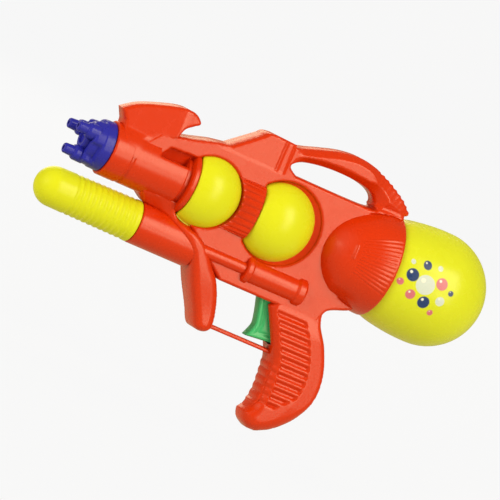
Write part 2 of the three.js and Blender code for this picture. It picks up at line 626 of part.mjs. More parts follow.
SCREW_PLACES.forEach(([x, z], i) => {
  const screw = join(
    cross(-SCREW_REACH, SCREW_SEAT + GAP + 0.5, SCREW_SHANK, x, z, 8),
    cross(SCREW_SEAT + GAP, SCREW_SEAT + GAP + 2.2, SCREW_HEAD, x, z, 10),
  );
  const slot = block(x - SCREW_HEAD - 1, x + SCREW_HEAD + 1, SCREW_SEAT + GAP + 1.2, LONG, z - 0.5, z + 0.5);
  place(`shell_screw_${i + 1}`, cut(screw, slot), STEEL);
});

// Nozzle: a stub held in the barrel, a ring seal on it and the turning head
const stubFront = BARREL_FRONT - NOZZLE_BASE_LENGTH - 8;
const groove = stubFront + 3;
const stub = turned([
  [stubFront, 2], [stubFront, STUB_RADIUS], [groove, STUB_RADIUS], [groove, STUB_RADIUS - 1.2],
  [groove + 2, STUB_RADIUS - 1.2], [groove + 2, STUB_RADIUS], [stubRear - 3, STUB_RADIUS],
  [stubRear - 3, STUB_FLANGE], [stubRear, STUB_FLANGE], [stubRear, WATER_BORE - GAP],
  [stubRear + 10, WATER_BORE - GAP], [stubRear + 10, JET_BORE], [stubRear - 3, JET_BORE], [stubRear - 6, 2],
  [stubFront, 2],
], 14);
place("nozzle_stub", stub, WHITE, lines.barrel);
place("nozzle_o_ring", turned([
  [groove + 0.2, STUB_RADIUS - 1], [groove + 0.2, STUB_RADIUS], [groove + 1, STUB_RADIUS + 0.1],
  [groove + 1.8, STUB_RADIUS], [groove + 1.8, STUB_RADIUS - 1], [groove + 0.2, STUB_RADIUS - 1],
], 14), RUBBER, lines.barrel);
const headRear = BARREL_FRONT - GAP;
const headStep = headRear - NOZZLE_BASE_LENGTH;
const headFront = headStep - NOZZLE_HEAD_LENGTH;
const spoutTip = headFront - SPOUT_LENGTH;
const chamberFront = stubFront - 3;
let nozzle = turned([
  [headFront, 0], [headFront, NOZZLE_HEAD - 2.5], [headFront + 1.5, NOZZLE_HEAD - 1], [headStep, NOZZLE_HEAD],
  [headStep, NOZZLE_BASE], [headRear - 1.2, NOZZLE_BASE], [headRear, NOZZLE_BASE - 1.2], [headRear, 0],
], 20);
nozzle = cut(
  nozzle,
  rod(stubFront - 0.5, headRear + 1, STUB_RADIUS + GAP, 14),
  rod(chamberFront, stubFront, SPOUT_CIRCLE + JET_BORE, 14),
);
for (let i = 0; i < SPOUTS; i += 1) {
  const angle = (2 * Math.PI * i) / SPOUTS + 0.07;
  const [y, z] = [-SPOUT_CIRCLE * Math.sin(angle), -SPOUT_CIRCLE * Math.cos(angle)];
  nozzle = cut(
    nozzle.add(rod(spoutTip, headFront + 1, SPOUT_RADIUS, 12, y, z)),
    rod(spoutTip - 1, chamberFront + 1, JET_BORE, 8, y, z),
  );
}
place("nozzle_head", nozzle, BLUE, lines.barrel);

// Tank, its gasket, the collar it screws into and the dip tube
const neckRear = NECK_FRONT + NECK_LENGTH;
const shoulder = [[neckRear, NECK_RADIUS], [neckRear + 1, 20], [neckRear + 5, 28], [neckRear + 13, 33]];
function tankRear(radius, steps) {
  return Array.from({ length: steps + 1 }, (_, i) => {
    const angle = (i / steps) * QUARTER;
    return [TANK_CENTRE + radius * Math.sin(angle), i === steps ? 0 : radius * Math.cos(angle)];
  });
}
const rim = CUP_RIM + 0.6;
const insideCup = CUP_RADIUS - WALL - 1;
const tankOuter = [
  [NECK_FRONT, NECK_BORE], [NECK_FRONT, NECK_RADIUS], ...shoulder, [rim, insideCup], [rim, TANK_WAIST],
  [rim + 9, TANK_WAIST + 1.6], [rim + 20, TANK_RADIUS - 0.9], ...tankRear(TANK_RADIUS, 5),
];
const tankInner = [
  ...tankRear(TANK_RADIUS - TANK_WALL, 4).reverse(), [rim + 20, TANK_RADIUS - 0.9 - TANK_WALL],
  [rim + 2, insideCup - TANK_WALL], [neckRear + 13, 33 - TANK_WALL], [neckRear + 6, 28 - TANK_WALL],
  [neckRear + 2.6, 19], [neckRear + 1.6, NECK_BORE],
];
place("tank", turned([...tankOuter, ...tankInner, tankOuter[0]], 22), YELLOW, lines.barrel);
const gasketFront = TANK_COLLAR_FRONT + COLLAR_WALL + GAP;
place("tank_gasket", turned([
  [gasketFront, NECK_BORE + 0.4], [gasketFront, NECK_RADIUS], [gasketFront + GASKET_THICK, NECK_RADIUS],
  [gasketFront + GASKET_THICK, NECK_BORE + 0.4], [gasketFront, NECK_BORE + 0.4],
], 18), RUBBER, lines.barrel);
const collarWallRear = TANK_COLLAR_FRONT + COLLAR_WALL;
let collar = turned([
  [TANK_COLLAR_FRONT, 0], [TANK_COLLAR_FRONT, TANK_COLLAR_RADIUS + 4], [collarWallRear, TANK_COLLAR_RADIUS + 4],
  [collarWallRear, TANK_COLLAR_RADIUS], [TANK_COLLAR_REAR, TANK_COLLAR_RADIUS],
  [TANK_COLLAR_REAR, NECK_RADIUS + GAP], [collarWallRear, NECK_RADIUS + GAP], [collarWallRear, 0],
], 20);
const portFront = TANK_COLLAR_FRONT - PORT_LENGTH;
collar = cut(
  join(
    collar,
    rod(portFront, collarWallRear + PORT_LENGTH, WATER_BORE - GAP, 12, 0, -PORT_OFFSET),
    rod(portFront, collarWallRear - 1, AIR_BORE - GAP, 12, AIR_PORT_SIDE, PORT_OFFSET),
  ),
  rod(portFront - 1, collarWallRear + PORT_LENGTH + 1, JET_BORE, 8, 0, -PORT_OFFSET),
  rod(portFront - 1, collarWallRear + 1, AIR_BORE - 0.8, 8, AIR_PORT_SIDE, PORT_OFFSET),
);
place("tank_collar", collar, WHITE, lines.barrel);
const dipFront = collarWallRear + 1;
place("dip_tube", hose([
  [dipFront, 0, -PORT_OFFSET], [dipFront + 9, 0, -PORT_OFFSET], [neckRear + 4, 0, -PORT_OFFSET],
  [neckRear + 17, 0, -PORT_OFFSET], [neckRear + 36, 0, -PORT_OFFSET - 9], [TANK_CENTRE - 8, 0, -TANK_WAIST + 12],
  [TANK_CENTRE + 8, 0, -TANK_WAIST + 6],
], WATER_HOSE - 0.4, WATER_BORE), CLEAR, lines.barrel);

// Pump: cylinder, gland, head with its check ball, and the rod, piston, seal and handle that slide
const cylinderFront = HOUSING_FRONT + WALL + 1 + GAP + 2;
place("pump_cylinder", turned([
  [cylinderFront, CYLINDER_BORE], [cylinderFront, CYLINDER_RADIUS], [CYLINDER_REAR, CYLINDER_RADIUS],
  [CYLINDER_REAR, CYLINDER_BORE], [cylinderFront, CYLINDER_BORE],
], 18), WHITE, lines.pump);
place("pump_gland", turned([
  [cylinderFront - 2, ROD_RADIUS + GAP], [cylinderFront - 2, CYLINDER_RADIUS - 0.5],
  [cylinderFront - GAP, CYLINDER_RADIUS - 0.5], [cylinderFront - GAP, CYLINDER_BORE - GAP],
  [cylinderFront + GLAND_LENGTH, CYLINDER_BORE - GAP], [cylinderFront + GLAND_LENGTH, ROD_RADIUS + GAP],
  [cylinderFront - 2, ROD_RADIUS + GAP],
], 14), WHITE, lines.pump);
const headFace = CYLINDER_REAR + GAP;
const seatX = headFace;
const chamberRear = seatX + 2 * BALL_RADIUS + BALL_LIFT + 0.8;
let pumpHead = turned([
  [CYLINDER_REAR - HEAD_PLUG, 0], [CYLINDER_REAR - HEAD_PLUG, CYLINDER_BORE - GAP], [headFace, CYLINDER_BORE - GAP],
  [headFace, CYLINDER_RADIUS], [headFace + HEAD_LENGTH, CYLINDER_RADIUS], [headFace + HEAD_LENGTH, 0],
], 18);
const outletX = headFace + HEAD_LENGTH;
const outletSide = 5.2;
pumpHead = cut(
  pumpHead.add(rod(outletX - 1, outletX + 5, AIR_BORE - GAP, 12, outletSide)),
  rod(CYLINDER_REAR - HEAD_PLUG - 1, seatX + 1, JET_BORE, 10, outletSide),
  rod(seatX, chamberRear, BALL_RADIUS + GAP, 12, outletSide),
  rod(chamberRear - 1, outletX + 8, AIR_BORE - 0.8, 8, outletSide),
);
place("pump_head", pumpHead, WHITE, lines.pump);
const ball = new THREE.SphereGeometry(BALL_RADIUS, 10, 6).rotateZ(QUARTER);
place("check_ball", solid(ball.translate(seatX + BALL_RADIUS + 0.3, outletSide, 0)), RUBBER, lines.pump);

const rodFront = HANDLE_FRONT + 9;
const rodTip = PISTON_REAR - 1;
const sealX = PISTON_REAR - PISTON_LENGTH / 2 - SEAL_LENGTH / 2;
place("pump_rod", cut(
  rod(rodFront, rodTip, ROD_RADIUS, 16),
  cross(-ROD_RADIUS - 1, ROD_RADIUS + 1, 1 + GAP / 2, rodFront + ROD_GRIP / 2, 0, 10),
  rod(PISTON_REAR - PISTON_LENGTH, rodTip + 1, ROD_RADIUS + 1, 16).subtract(
    rod(PISTON_REAR - PISTON_LENGTH - 1, rodTip + 2, ROD_RADIUS - 1, 16)),
), WHITE, lines.pump);
place("pump_piston", turned([
  [PISTON_REAR - PISTON_LENGTH + GAP, ROD_RADIUS - 1 + GAP], [PISTON_REAR - PISTON_LENGTH + GAP, CYLINDER_BORE - 0.6],
  [sealX, CYLINDER_BORE - 0.6], [sealX, CYLINDER_BORE - 2.2], [sealX + SEAL_LENGTH, CYLINDER_BORE - 2.2],
  [sealX + SEAL_LENGTH, CYLINDER_BORE - 0.6], [PISTON_REAR, CYLINDER_BORE - 0.6],
  [PISTON_REAR, 0], [rodTip + GAP, 0], [rodTip + GAP, ROD_RADIUS - 1 + GAP],
  [PISTON_REAR - PISTON_LENGTH + GAP, ROD_RADIUS - 1 + GAP],
], 16), WHITE, lines.pump);
place("piston_seal", turned([
  [sealX + 0.2, CYLINDER_BORE - 2], [sealX + 0.2, CYLINDER_BORE - 0.3], [sealX + SEAL_LENGTH - 0.2, CYLINDER_BORE - 0.15],
  [sealX + SEAL_LENGTH - 0.2, CYLINDER_BORE - 2], [sealX + 0.2, CYLINDER_BORE - 2],
], 16), RUBBER, lines.pump);

// The handle's side, with shallow ribs along its rear part.
function handleSide() {
  const points = [];
  const ribStart = HANDLE_REAR - 3 - HANDLE_RIBS * HANDLE_RIB_PITCH;
  const radiusAt = (x) => HANDLE_NOSE + ((HANDLE_RADIUS - HANDLE_NOSE) * (x - HANDLE_FRONT)) / HANDLE_LENGTH;
  for (let i = 0; i < HANDLE_RIBS; i += 1) {
    const x = ribStart + i * HANDLE_RIB_PITCH;
    points.push([x, radiusAt(x) - HANDLE_RIB_DEPTH], [x + HANDLE_RIB_PITCH / 2, radiusAt(x)]);
  }
  points.push([HANDLE_REAR - 3, HANDLE_RADIUS - HANDLE_RIB_DEPTH], [HANDLE_REAR - 2, HANDLE_RADIUS]);
  points.push([HANDLE_REAR, HANDLE_RADIUS]);
  return points;
}
const nose = [];
for (let i = 0; i <= 6; i += 1) {
  const angle = (i / 6) * QUARTER;
  const x = HANDLE_FRONT + HANDLE_NOSE * (1 - Math.cos(angle));
  nose.push([x, i === 0 ? 0 : HANDLE_NOSE * Math.sin(angle)]);
}
const bore = HANDLE_NOSE - HANDLE_WALL - HANDLE_RIB_DEPTH;
const boreFront = HANDLE_FRONT + 7;
const bossRear = rodFront + ROD_GRIP;
place("pump_handle", cut(
  turned([
    ...nose, ...handleSide(), [HANDLE_REAR, bore], [boreFront + 6, bore], [boreFront, BOSS_RADIUS],
    [bossRear, BOSS_RADIUS], [bossRear, ROD_RADIUS + GAP], [rodFront - GAP, ROD_RADIUS + GAP], [rodFront - GAP, 0],
  ], 14),
  cross(-BOSS_RADIUS - 1, BOSS_RADIUS + 1, 1 + GAP / 2, rodFront + ROD_GRIP / 2, 0, 10),
), YELLOW, lines.pump);
place("rod_pin", cross(-BOSS_RADIUS + 0.4, BOSS_RADIUS - 0.4, 1, rodFront + ROD_GRIP / 2, 0, 10), STEEL, lines.pump);

// Valve: body, stem with its washer, and the spring that shuts it
const valveRear = VALVE_FRONT + VALVE_LENGTH;
const seat = VALVE_FRONT + 17;
const springFront = VALVE_FRONT + 4 + GAP;
const headRearX = seat - 1.6;
let valve = turned([
  [VALVE_FRONT, 0], [VALVE_FRONT, VALVE_RADIUS], [valveRear, VALVE_RADIUS], [valveRear, STEM_RADIUS + GAP],
  [valveRear - 3, STEM_RADIUS + GAP], [valveRear - 3, VALVE_BORE], [seat + 2, VALVE_BORE],
  [seat + 2, STEM_RADIUS + 1], [seat, STEM_RADIUS + 1], [seat, VALVE_BORE], [VALVE_FRONT + 4, VALVE_BORE],
  [VALVE_FRONT + 4, 0],
], 14);
const inletX = valveRear - 7;
const inlet = (radius, z0, z1, sides) => solid(new THREE.CylinderGeometry(radius, radius, z1 - z0, sides)
  .rotateX(QUARTER).translate(inletX, 0, (z0 + z1) / 2));
valve = cut(
  join(valve, rod(VALVE_FRONT - 6, VALVE_FRONT + 1, WATER_BORE - GAP, 12),
    inlet(WATER_BORE - GAP, VALVE_BORE + 0.6, VALVE_RADIUS + 6, 12)),
  rod(VALVE_FRONT - 9, VALVE_FRONT + 5, JET_BORE, 8),
  inlet(JET_BORE, 1, VALVE_RADIUS + 8, 8),
);
place("valve_body", valve, WHITE, lines.valve);
place("valve_stem", turned([
  [headRearX - 3, 0], [headRearX - 3, VALVE_BORE - 0.5], [headRearX, VALVE_BORE - 0.5], [headRearX, STEM_RADIUS],
  [TRIGGER_ARM_FRONT - 1.3, STEM_RADIUS], [TRIGGER_ARM_FRONT - GAP, 0.8], [TRIGGER_ARM_FRONT - GAP, 0],
], 14), WHITE, lines.valve);
place("valve_washer", turned([
  [headRearX + 0.2, STEM_RADIUS + 0.2], [headRearX + 0.2, VALVE_BORE - 0.5], [seat - 0.2, VALVE_BORE - 0.5],
  [seat - 0.2, STEM_RADIUS + 0.2], [headRearX + 0.2, STEM_RADIUS + 0.2],
], 16), RUBBER, lines.valve);
place("valve_spring", spring(springFront, headRearX - 3 - GAP, SPRING_RADIUS, SPRING_WIRE, 3), STEEL, lines.valve);

// Trigger, drawn about its pin, and the spring behind it
const triggerSide = path((s) => {
  s.moveTo(-TRIGGER_HUB, 2);
  s.lineTo(...TRIGGER_FRONT[0]);
  through(s, TRIGGER_FRONT.slice(1));
  for (const point of TRIGGER_REAR) s.lineTo(...point);
  s.lineTo(TRIGGER_HUB, -2);
  s.lineTo(TRIGGER_HUB, 2);
  s.lineTo(2, TRIGGER_HUB);
  s.lineTo(-2, TRIGGER_HUB);
}, 2);
const armFront = TRIGGER_ARM_FRONT - PIVOT_X;
const arm = [[armFront, 0], [armFront, VALVE_LIFT + 4], [armFront + 5, VALVE_LIFT + 4], [armFront + 7, 0]];
place("trigger", cut(
  slab(triggerSide, TRIGGER_HALF, { round: 0.8, segments: 1 }).add(
    slab(arm.map(([x, z]) => new THREE.Vector2(x, z)), TRIGGER_ARM_HALF)),
  cross(-LONG, LONG, PIN_RADIUS + GAP, 0, 0, 14),
), GREEN, lines.pivot);
place("trigger_pin", cross(-INNER_HALF + 1, INNER_HALF - 1, PIN_RADIUS, 0, 0, 14), STEEL, lines.pivot);
const returnSpring = new THREE.Group();
returnSpring.position.set(-PIVOT_X, 0, -RETURN_SPRING_DROP);
lines.pivot.add(returnSpring);
place("trigger_spring", spring(PIVOT_X + TRIGGER_REAR[2][0] + GAP, SPRING_SEAT_X - GAP, SPRING_RADIUS, SPRING_WIRE + 0.1, 4), STEEL, returnSpring);

// Hoses: valve to nozzle, tank to valve, pump to tank. Each runs straight where it is pushed on.
const onStub = stubRear + 1;
place("barrel_hose", hose([
  [onStub, 0, AXIS_HEIGHT], [onStub + 12, 0, AXIS_HEIGHT], [BARREL_RIB_X - 2, 0, AXIS_HEIGHT],
  [BARREL_RIB_X + 14, 0, AXIS_HEIGHT - 1], [-58, 0, AXIS_HEIGHT - 8], [-42, 0, VALVE_HEIGHT + 2.5], [VALVE_FRONT - 14, 0, VALVE_HEIGHT],
  [VALVE_FRONT - 8, 0, VALVE_HEIGHT], [VALVE_FRONT - 1, 0, VALVE_HEIGHT],
], WATER_HOSE, WATER_BORE, 13), CLEAR);
const inletTop = VALVE_HEIGHT + VALVE_RADIUS;
place("water_hose", hose([
  [TANK_COLLAR_FRONT - 1, 0, AXIS_HEIGHT - PORT_OFFSET], [portFront, 0, AXIS_HEIGHT - PORT_OFFSET],
  [portFront - 5, -1.4, AXIS_HEIGHT - PORT_OFFSET], [inletX + 16, -3, AXIS_HEIGHT + 2],
  [inletX + 7, -1.8, inletTop + 22], [inletX + 0.8, 0, inletTop + 18], [inletX, 0, inletTop + 12],
  [inletX, 0, inletTop + 7], [inletX, 0, inletTop + 1],
], WATER_HOSE, WATER_BORE, 15), CLEAR);
place("air_hose", hose([
  [outletX + 1, outletSide, PUMP_HEIGHT], [outletX + 6, outletSide, PUMP_HEIGHT],
  [outletX + 11, outletSide, PUMP_HEIGHT + 1], [PIVOT_X - 7, outletSide, PUMP_HEIGHT + 12],
  [PIVOT_X - 1, outletSide, VALVE_HEIGHT + 6], [portFront - 8, outletSide, AXIS_HEIGHT + PORT_OFFSET - 4],
  [portFront - 3, AIR_PORT_SIDE, AXIS_HEIGHT + PORT_OFFSET], [portFront, AIR_PORT_SIDE, AXIS_HEIGHT + PORT_OFFSET],
  [TANK_COLLAR_FRONT - 1, AIR_PORT_SIDE, AXIS_HEIGHT + PORT_OFFSET],
], AIR_HOSE, AIR_BORE, 14), CLEAR);

export default part;
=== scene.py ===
import json
import math

import bmesh
import bpy
import numpy as np
from mathutils import Matrix, Vector


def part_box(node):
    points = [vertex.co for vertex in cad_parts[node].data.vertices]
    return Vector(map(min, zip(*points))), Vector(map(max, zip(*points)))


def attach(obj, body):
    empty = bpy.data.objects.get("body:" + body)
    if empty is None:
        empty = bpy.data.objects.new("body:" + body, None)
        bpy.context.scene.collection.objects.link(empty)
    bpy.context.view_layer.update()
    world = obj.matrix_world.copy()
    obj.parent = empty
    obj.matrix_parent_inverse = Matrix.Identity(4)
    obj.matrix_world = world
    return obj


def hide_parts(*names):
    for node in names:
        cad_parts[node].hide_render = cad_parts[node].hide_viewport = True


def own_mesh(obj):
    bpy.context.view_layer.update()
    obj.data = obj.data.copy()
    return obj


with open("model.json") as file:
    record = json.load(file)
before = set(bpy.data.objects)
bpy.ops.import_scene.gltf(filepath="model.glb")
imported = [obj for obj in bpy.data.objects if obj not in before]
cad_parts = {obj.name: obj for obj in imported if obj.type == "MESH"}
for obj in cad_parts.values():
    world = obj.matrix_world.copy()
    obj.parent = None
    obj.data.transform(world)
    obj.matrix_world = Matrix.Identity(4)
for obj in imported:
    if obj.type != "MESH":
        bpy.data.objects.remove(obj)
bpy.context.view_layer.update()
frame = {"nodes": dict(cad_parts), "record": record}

# Body shells: the squirter's two mirrored halves, which meet on the plane y = 0. Sizes are in millimetres.
# Injection-moulded in glossy red plastic, thin walled, with barrel, fin, carry handle, cup and grip in one.
# Screws from the right side hold them together round the pump, the valve and the hoses.
AXIS_HEIGHT = 139.5
PUMP_HEIGHT = 100.5
PANEL_HALF = 12.5
SEAM = 0.03
CELL = 0.85
SCREWS = np.array([[-107, 170.5], [-22, 183], [77, 183.5], [52, 97.5], [66, 46], [54, 14], [-16.5, 57],
                   [-65, 117.4]])
SCREW_WELL = 3.4
HALF_TURN = np.linspace(-math.pi / 2, math.pi / 2, 65)
FULL_TURN = np.linspace(0, 2 * math.pi, 97)


def curve(points, steps=8):
    """A smooth line through points: on each span the cubic with the span's ends, whose end slopes are half
    the chord between the neighbours on both sides."""
    p = np.asarray(points, float)
    q = np.vstack([p[:1], p, p[-1:]])
    p0, p1, p2, p3 = (q[i:len(q) - 3 + i, None] for i in range(4))
    v0, v1 = (p2 - p0) / 2, (p3 - p1) / 2
    t = np.linspace(0, 1, steps, endpoint=False)[None, :, None]
    line = (2 * p1 - 2 * p2 + v0 + v1) * t**3 + (3 * p2 - 3 * p1 - 2 * v0 - v1) * t**2 + v0 * t + p1
    return np.vstack([line.reshape(-1, p.shape[1]), p[-1:]])


def inside(x, z, outline):
    """Depth of points inside a closed outline: the least distance to its edges, negative where a line from
    the point to the right crosses the outline an even number of times."""
    a = np.asarray(outline, float)
    b = np.roll(a, -1, 0)
    e = b - a
    px, pz = np.ravel(x)[:, None], np.ravel(z)[:, None]
    along = ((px - a[:, 0]) * e[:, 0] + (pz - a[:, 1]) * e[:, 1]) / np.maximum((e**2).sum(1), 1e-9)
    along = np.clip(along, 0, 1)
    far = np.hypot(px - a[:, 0] - along * e[:, 0], pz - a[:, 1] - along * e[:, 1]).min(1)
    level = np.where(np.abs(e[:, 1]) < 1e-9, 1e-9, e[:, 1])
    crossed = ((a[:, 1] > pz) != (b[:, 1] > pz)) & (px < a[:, 0] + (pz - a[:, 1]) * e[:, 0] / level)
    return np.where(crossed.sum(1) % 2 == 1, far, -far).reshape(np.shape(x))


def within(outline):
    """The depth inside an outline as a function of x and z."""
    return lambda x, z: inside(x, z, outline)


def ease(value, start, end):
    """Goes smoothly from 0 at start to 1 at end: 3 t squared less 2 t cubed."""
    t = np.clip((value - start) / (end - start), 0, 1)
    return t * t * (3 - 2 * t)


def span(value, start, full, fade, end):
    """Goes smoothly from 0 at start to 1 at full, and from 1 at fade back to 0 at end."""
    return ease(value, start, full) * (1 - ease(value, fade, end))


def bell(value, middle, width):
    """A bell that is 1 at its middle: e to the power of minus the square of the distance over the width."""
    return np.exp(-((value - middle) / width)**2)


def rounded(depth, radius):
    """Drop of a rounded edge below its face at a depth inside the outline: a quarter circle."""
    return radius - np.sqrt(np.maximum(radius**2 - (radius - np.clip(depth, 0, radius))**2, 0))


def moulding(depth, low, high, cell, height, foot=SEAM):
    """A moulded face as a height over x and z: (x, z) stands height(x, z, depth) from the parting plane.
    Cells whose middle is inside are kept, the points on their border step on to the outline along the slope
    of depth, and each open edge runs straight down to the foot: a height or a function of x and z."""
    x, z = np.meshgrid(np.arange(low[0], high[0], cell), np.arange(low[1], high[1], cell), indexing="ij")
    kept = depth(x[:-1, :-1] + cell / 2, z[:-1, :-1] + cell / 2) > 0
    number = np.arange(x.size).reshape(x.shape)
    corners = [number[:-1, :-1], number[1:, :-1], number[1:, 1:], number[:-1, 1:]]
    used, quads = np.unique(np.stack(corners, -1)[kept], return_inverse=True)
    quads = quads.reshape(-1, 4)
    x, z = x.ravel()[used], z.ravel()[used]
    edges = np.stack([quads, np.roll(quads, -1, 1)], -1).reshape(-1, 2)
    _, first, count = np.unique(np.sort(edges, 1), axis=0, return_index=True, return_counts=True)
    rim = edges[first[count == 1]]
    border = np.unique(rim)
    probe, least_slope = 0.02, 0.3
    for _ in range(4):
        d = depth(x[border], z[border])
        dx = (depth(x[border] + probe, z[border]) - d) / probe
        dz = (depth(x[border], z[border] + probe) - d) / probe
        steep = np.maximum(dx**2 + dz**2, least_slope)
        x[border] -= np.clip(d * dx / steep, -cell, cell)
        z[border] -= np.clip(d * dz / steep, -cell, cell)
    d = np.maximum(depth(x, z), 0)
    d[border] = 0
    top = np.column_stack([x, -height(x, z, d), z])
    lower = foot(x, z) if callable(foot) else np.full(len(x), foot)
    base = np.column_stack([x, -lower, z])
    walls = np.column_stack([rim[:, 1], rim[:, 0], rim[:, 0] + len(top), rim[:, 1] + len(top)])
    return np.vstack([top, base]), np.vstack([quads, walls])


def sheet(x, y, z, flipped=False):
    """A surface over a grid of points, with a face in each cell between two rows and two columns."""
    x, y, z = np.broadcast_arrays(x, y, z)
    n = np.arange(x.size).reshape(x.shape)
    faces = np.stack([n[:-1, :-1], n[1:, :-1], n[1:, 1:], n[:-1, 1:]], -1).reshape(-1, 4)
    return np.stack([x, y, z], -1).reshape(-1, 3), faces[:, [0, 3, 2, 1]] if flipped else faces


def closer(profile, step=1.5, end=0.3):
    """More points along a profile: none further apart than the step, and one near each end of a long
    stretch, so that a rounding at its end does not tilt the light on it."""
    p = np.asarray(profile, float)
    stretches = []
    for a, b in zip(p[:-1], p[1:]):
        length = math.hypot(*(b - a))
        t = np.linspace(0, 1, max(1, math.ceil(length / step)), endpoint=False)
        if length > 4 * end:
            t = np.unique(np.r_[t, end / length, 1 - end / length])
        stretches.append(a + (b - a) * t[:, None])
    return np.vstack([*stretches, p[-1:]])


def turned(profile, angles, centre=(0, 0), reach=None):
    """A profile of x and radius carried round the x axis: y is minus the radius times the cosine of the
    angle, z the radius times its sine. reach(x, radius, angle) may change the radius."""
    profile = closer(profile)
    x, angle = np.meshgrid(profile[:, 0], angles, indexing="ij")
    radius = np.broadcast_to(profile[:, 1:], x.shape)
    radius = radius if reach is None else reach(x, radius, angle)
    return sheet(x, centre[0] - radius * np.cos(angle), centre[1] + radius * np.sin(angle))


def mirrored(part):
    """The same surface on the other side of the plane y = 0, with its faces turned to look outwards."""
    return part[0] * [1, -1, 1], part[1][:, ::-1]


def lifted(part, height):
    """The same surface moved up."""
    return part[0] + [0, 0, height], part[1]


def joined(*parts):
    """Several surfaces as one list of points and one of faces."""
    starts = np.cumsum([0] + [len(p) for p, _ in parts[:-1]])
    return np.vstack([p for p, _ in parts]), np.vstack([f + s for (_, f), s in zip(parts, starts)])


def piece(name, part, material, body, slot, *nodes, crease=60):
    """Puts a surface in millimetres into a mesh in metres at the origin, closes its seams and poles, gives
    it its material, hangs it on the body it rides on and hides the nodes it stands for. The slot is not
    used."""
    points, faces = part
    used, faces = np.unique(faces, return_inverse=True)
    mesh = bpy.data.meshes.new(name)
    mesh.from_pydata(points[used] * 0.001, [], faces.reshape(-1, part[1].shape[1]))
    work = bmesh.new()
    work.from_mesh(mesh)
    bmesh.ops.remove_doubles(work, verts=work.verts, dist=2e-6)
    work.to_mesh(mesh)
    work.free()
    mesh.shade_smooth()
    mesh.set_sharp_from_angle(angle=math.radians(crease))
    mesh.materials.append(material)
    made = bpy.data.objects.new(name, mesh)
    bpy.context.scene.collection.objects.link(made)
    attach(made, body)
    if nodes:
        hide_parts(*nodes)
    return made


class Paint:
    """A socket in a material. Sums and products of it add Math nodes, and add() makes any other node."""

    def __init__(self, tree, socket=None):
        self.tree, self.socket = tree, socket

    def add(self, kind, settings=(), inputs=(), output=0):
        """A new node: its settings first, then the values or links of its sockets. Gives one output."""
        node = self.tree.nodes.new(kind)
        for key, value in dict(settings).items():
            setattr(node, key, value)
        self.feed(node, inputs)
        return Paint(self.tree, node.outputs[output])

    def feed(self, node, inputs):
        """Sets or links sockets of a node."""
        for key, value in dict(inputs).items():
            if isinstance(value, Paint):
                self.tree.links.new(value.socket, node.inputs[key])
            else:
                node.inputs[key].default_value = value

    def noise(self, place, scale, detail):
        """Noise of so many cells to a metre."""
        return self.add("ShaderNodeTexNoise", {}, {"Vector": place, "Scale": scale, "Detail": detail}, "Fac")

    def bump(self, strength, distance, height):
        """The normal of a surface that a height lifts."""
        return self.add("ShaderNodeBump", {}, {"Strength": strength, "Distance": distance, "Height": height},
                        "Normal")

    def reckon(self, operation, a, b=0.0):
        return self.add("ShaderNodeMath", {"operation": operation}, {0: a, 1: b})

    def __add__(self, other):
        return self.reckon("ADD", self, other)

    def __sub__(self, other):
        return self.reckon("SUBTRACT", self, other)

    def __rsub__(self, other):
        return self.reckon("SUBTRACT", other, self)

    def __mul__(self, other):
        return self.reckon("MULTIPLY", self, other)


def mix(factor, first, second):
    """One colour to another by a factor."""
    return factor.add("ShaderNodeMix", {"data_type": "RGBA"}, {0: factor, 6: first, 7: second}, 2)


def plastic(name, colour, shade, rough=0.3, grain=0.03, gloss=0.1, glow=0.0):
    """Moulded plastic: slow flow clouds move the colour from one tone to another, faint handling marks move
    the roughness, and a fine grain lifts the surface a little."""
    made = bpy.data.materials.new(name)
    made.use_nodes = True
    shader = made.node_tree.nodes["Principled BSDF"]
    paint = Paint(made.node_tree)
    place = paint.add("ShaderNodeTexCoord", output="Object")
    flow = paint.noise(place, 22.0, 3.0)
    fine = paint.noise(place, 1500.0, 2.0)
    marks = paint.noise(place, 140.0, 6.0)
    paint.feed(shader, {
        "Base Color": mix(flow, (*colour, 1), (*shade, 1)),
        "Roughness": (marks - 0.5) * 0.1 + rough,
        "Normal": paint.bump(grain, 0.0003, fine),
        "Specular IOR Level": gloss,
        "Subsurface Weight": glow,
        "Subsurface Radius": (0.004, 0.003, 0.001),
    })
    return made


red_plastic = plastic("red_plastic", (0.64, 0.034, 0.0010), (0.61, 0.029, 0.0008), rough=0.27, gloss=0.35)

# The side panel with rail, hump and carry handle. Heights in this block are over the barrel's axis.
# A dome has its middle along the barrel, its radius at the panel, its apex and its flat front edge.
EDGE_ROUND = 1.6
HUMP_SET_IN, HUMP_LEAN = 0.7, 0.05
HANDLE_BAND, HANDLE_WIDENING, HANDLE_DROP = 4.4, 5, 5.2
TOOTH_PITCH, TOOTH_HEIGHT = 4.6, 0.8
FRONT_DOME = (-55.3, 23.9, 25.5, -68.3)
REAR_DOME = (1.2, 26.0, 27.3, -17.2)
REAR_WELL = (3.4, 0.2, 29.4)
FRONT_WELL_GAP = 0.8
FRONT_WELL_EDGE, REAR_WELL_EDGE = -70.5, -17.3
CUP_WIDEST, CUP_LENGTH, CUP_RADIUS = 84, 48, 37.8
ROOM_FRONT, ROOM_LENGTH = 62.3, 44.5
ROOM_BELOW, ROOM_ABOVE = 33.2, 35.8
carry = curve([[-9.4, 54.2], [-7.6, 52.6], [2, 55.2], [12.7, 58.6], [25.6, 62.2], [39.2, 63.8], [52, 62],
               [65.7, 57.5], [80.8, 49.5], [88.6, 42.6]], 24)
run = np.r_[0, np.cumsum(np.hypot(*np.diff(carry, axis=0).T))]
teeth = span(carry[:, 0], 54, 58, 86, 90) * np.abs(np.sin(math.pi * run / TOOTH_PITCH))
slope = np.gradient(carry, axis=0)
slope /= np.hypot(slope[:, :1], slope[:, 1:])
carry = carry + np.column_stack([slope[:, 1], -slope[:, 0]]) * (TOOTH_HEIGHT * teeth)[:, None]
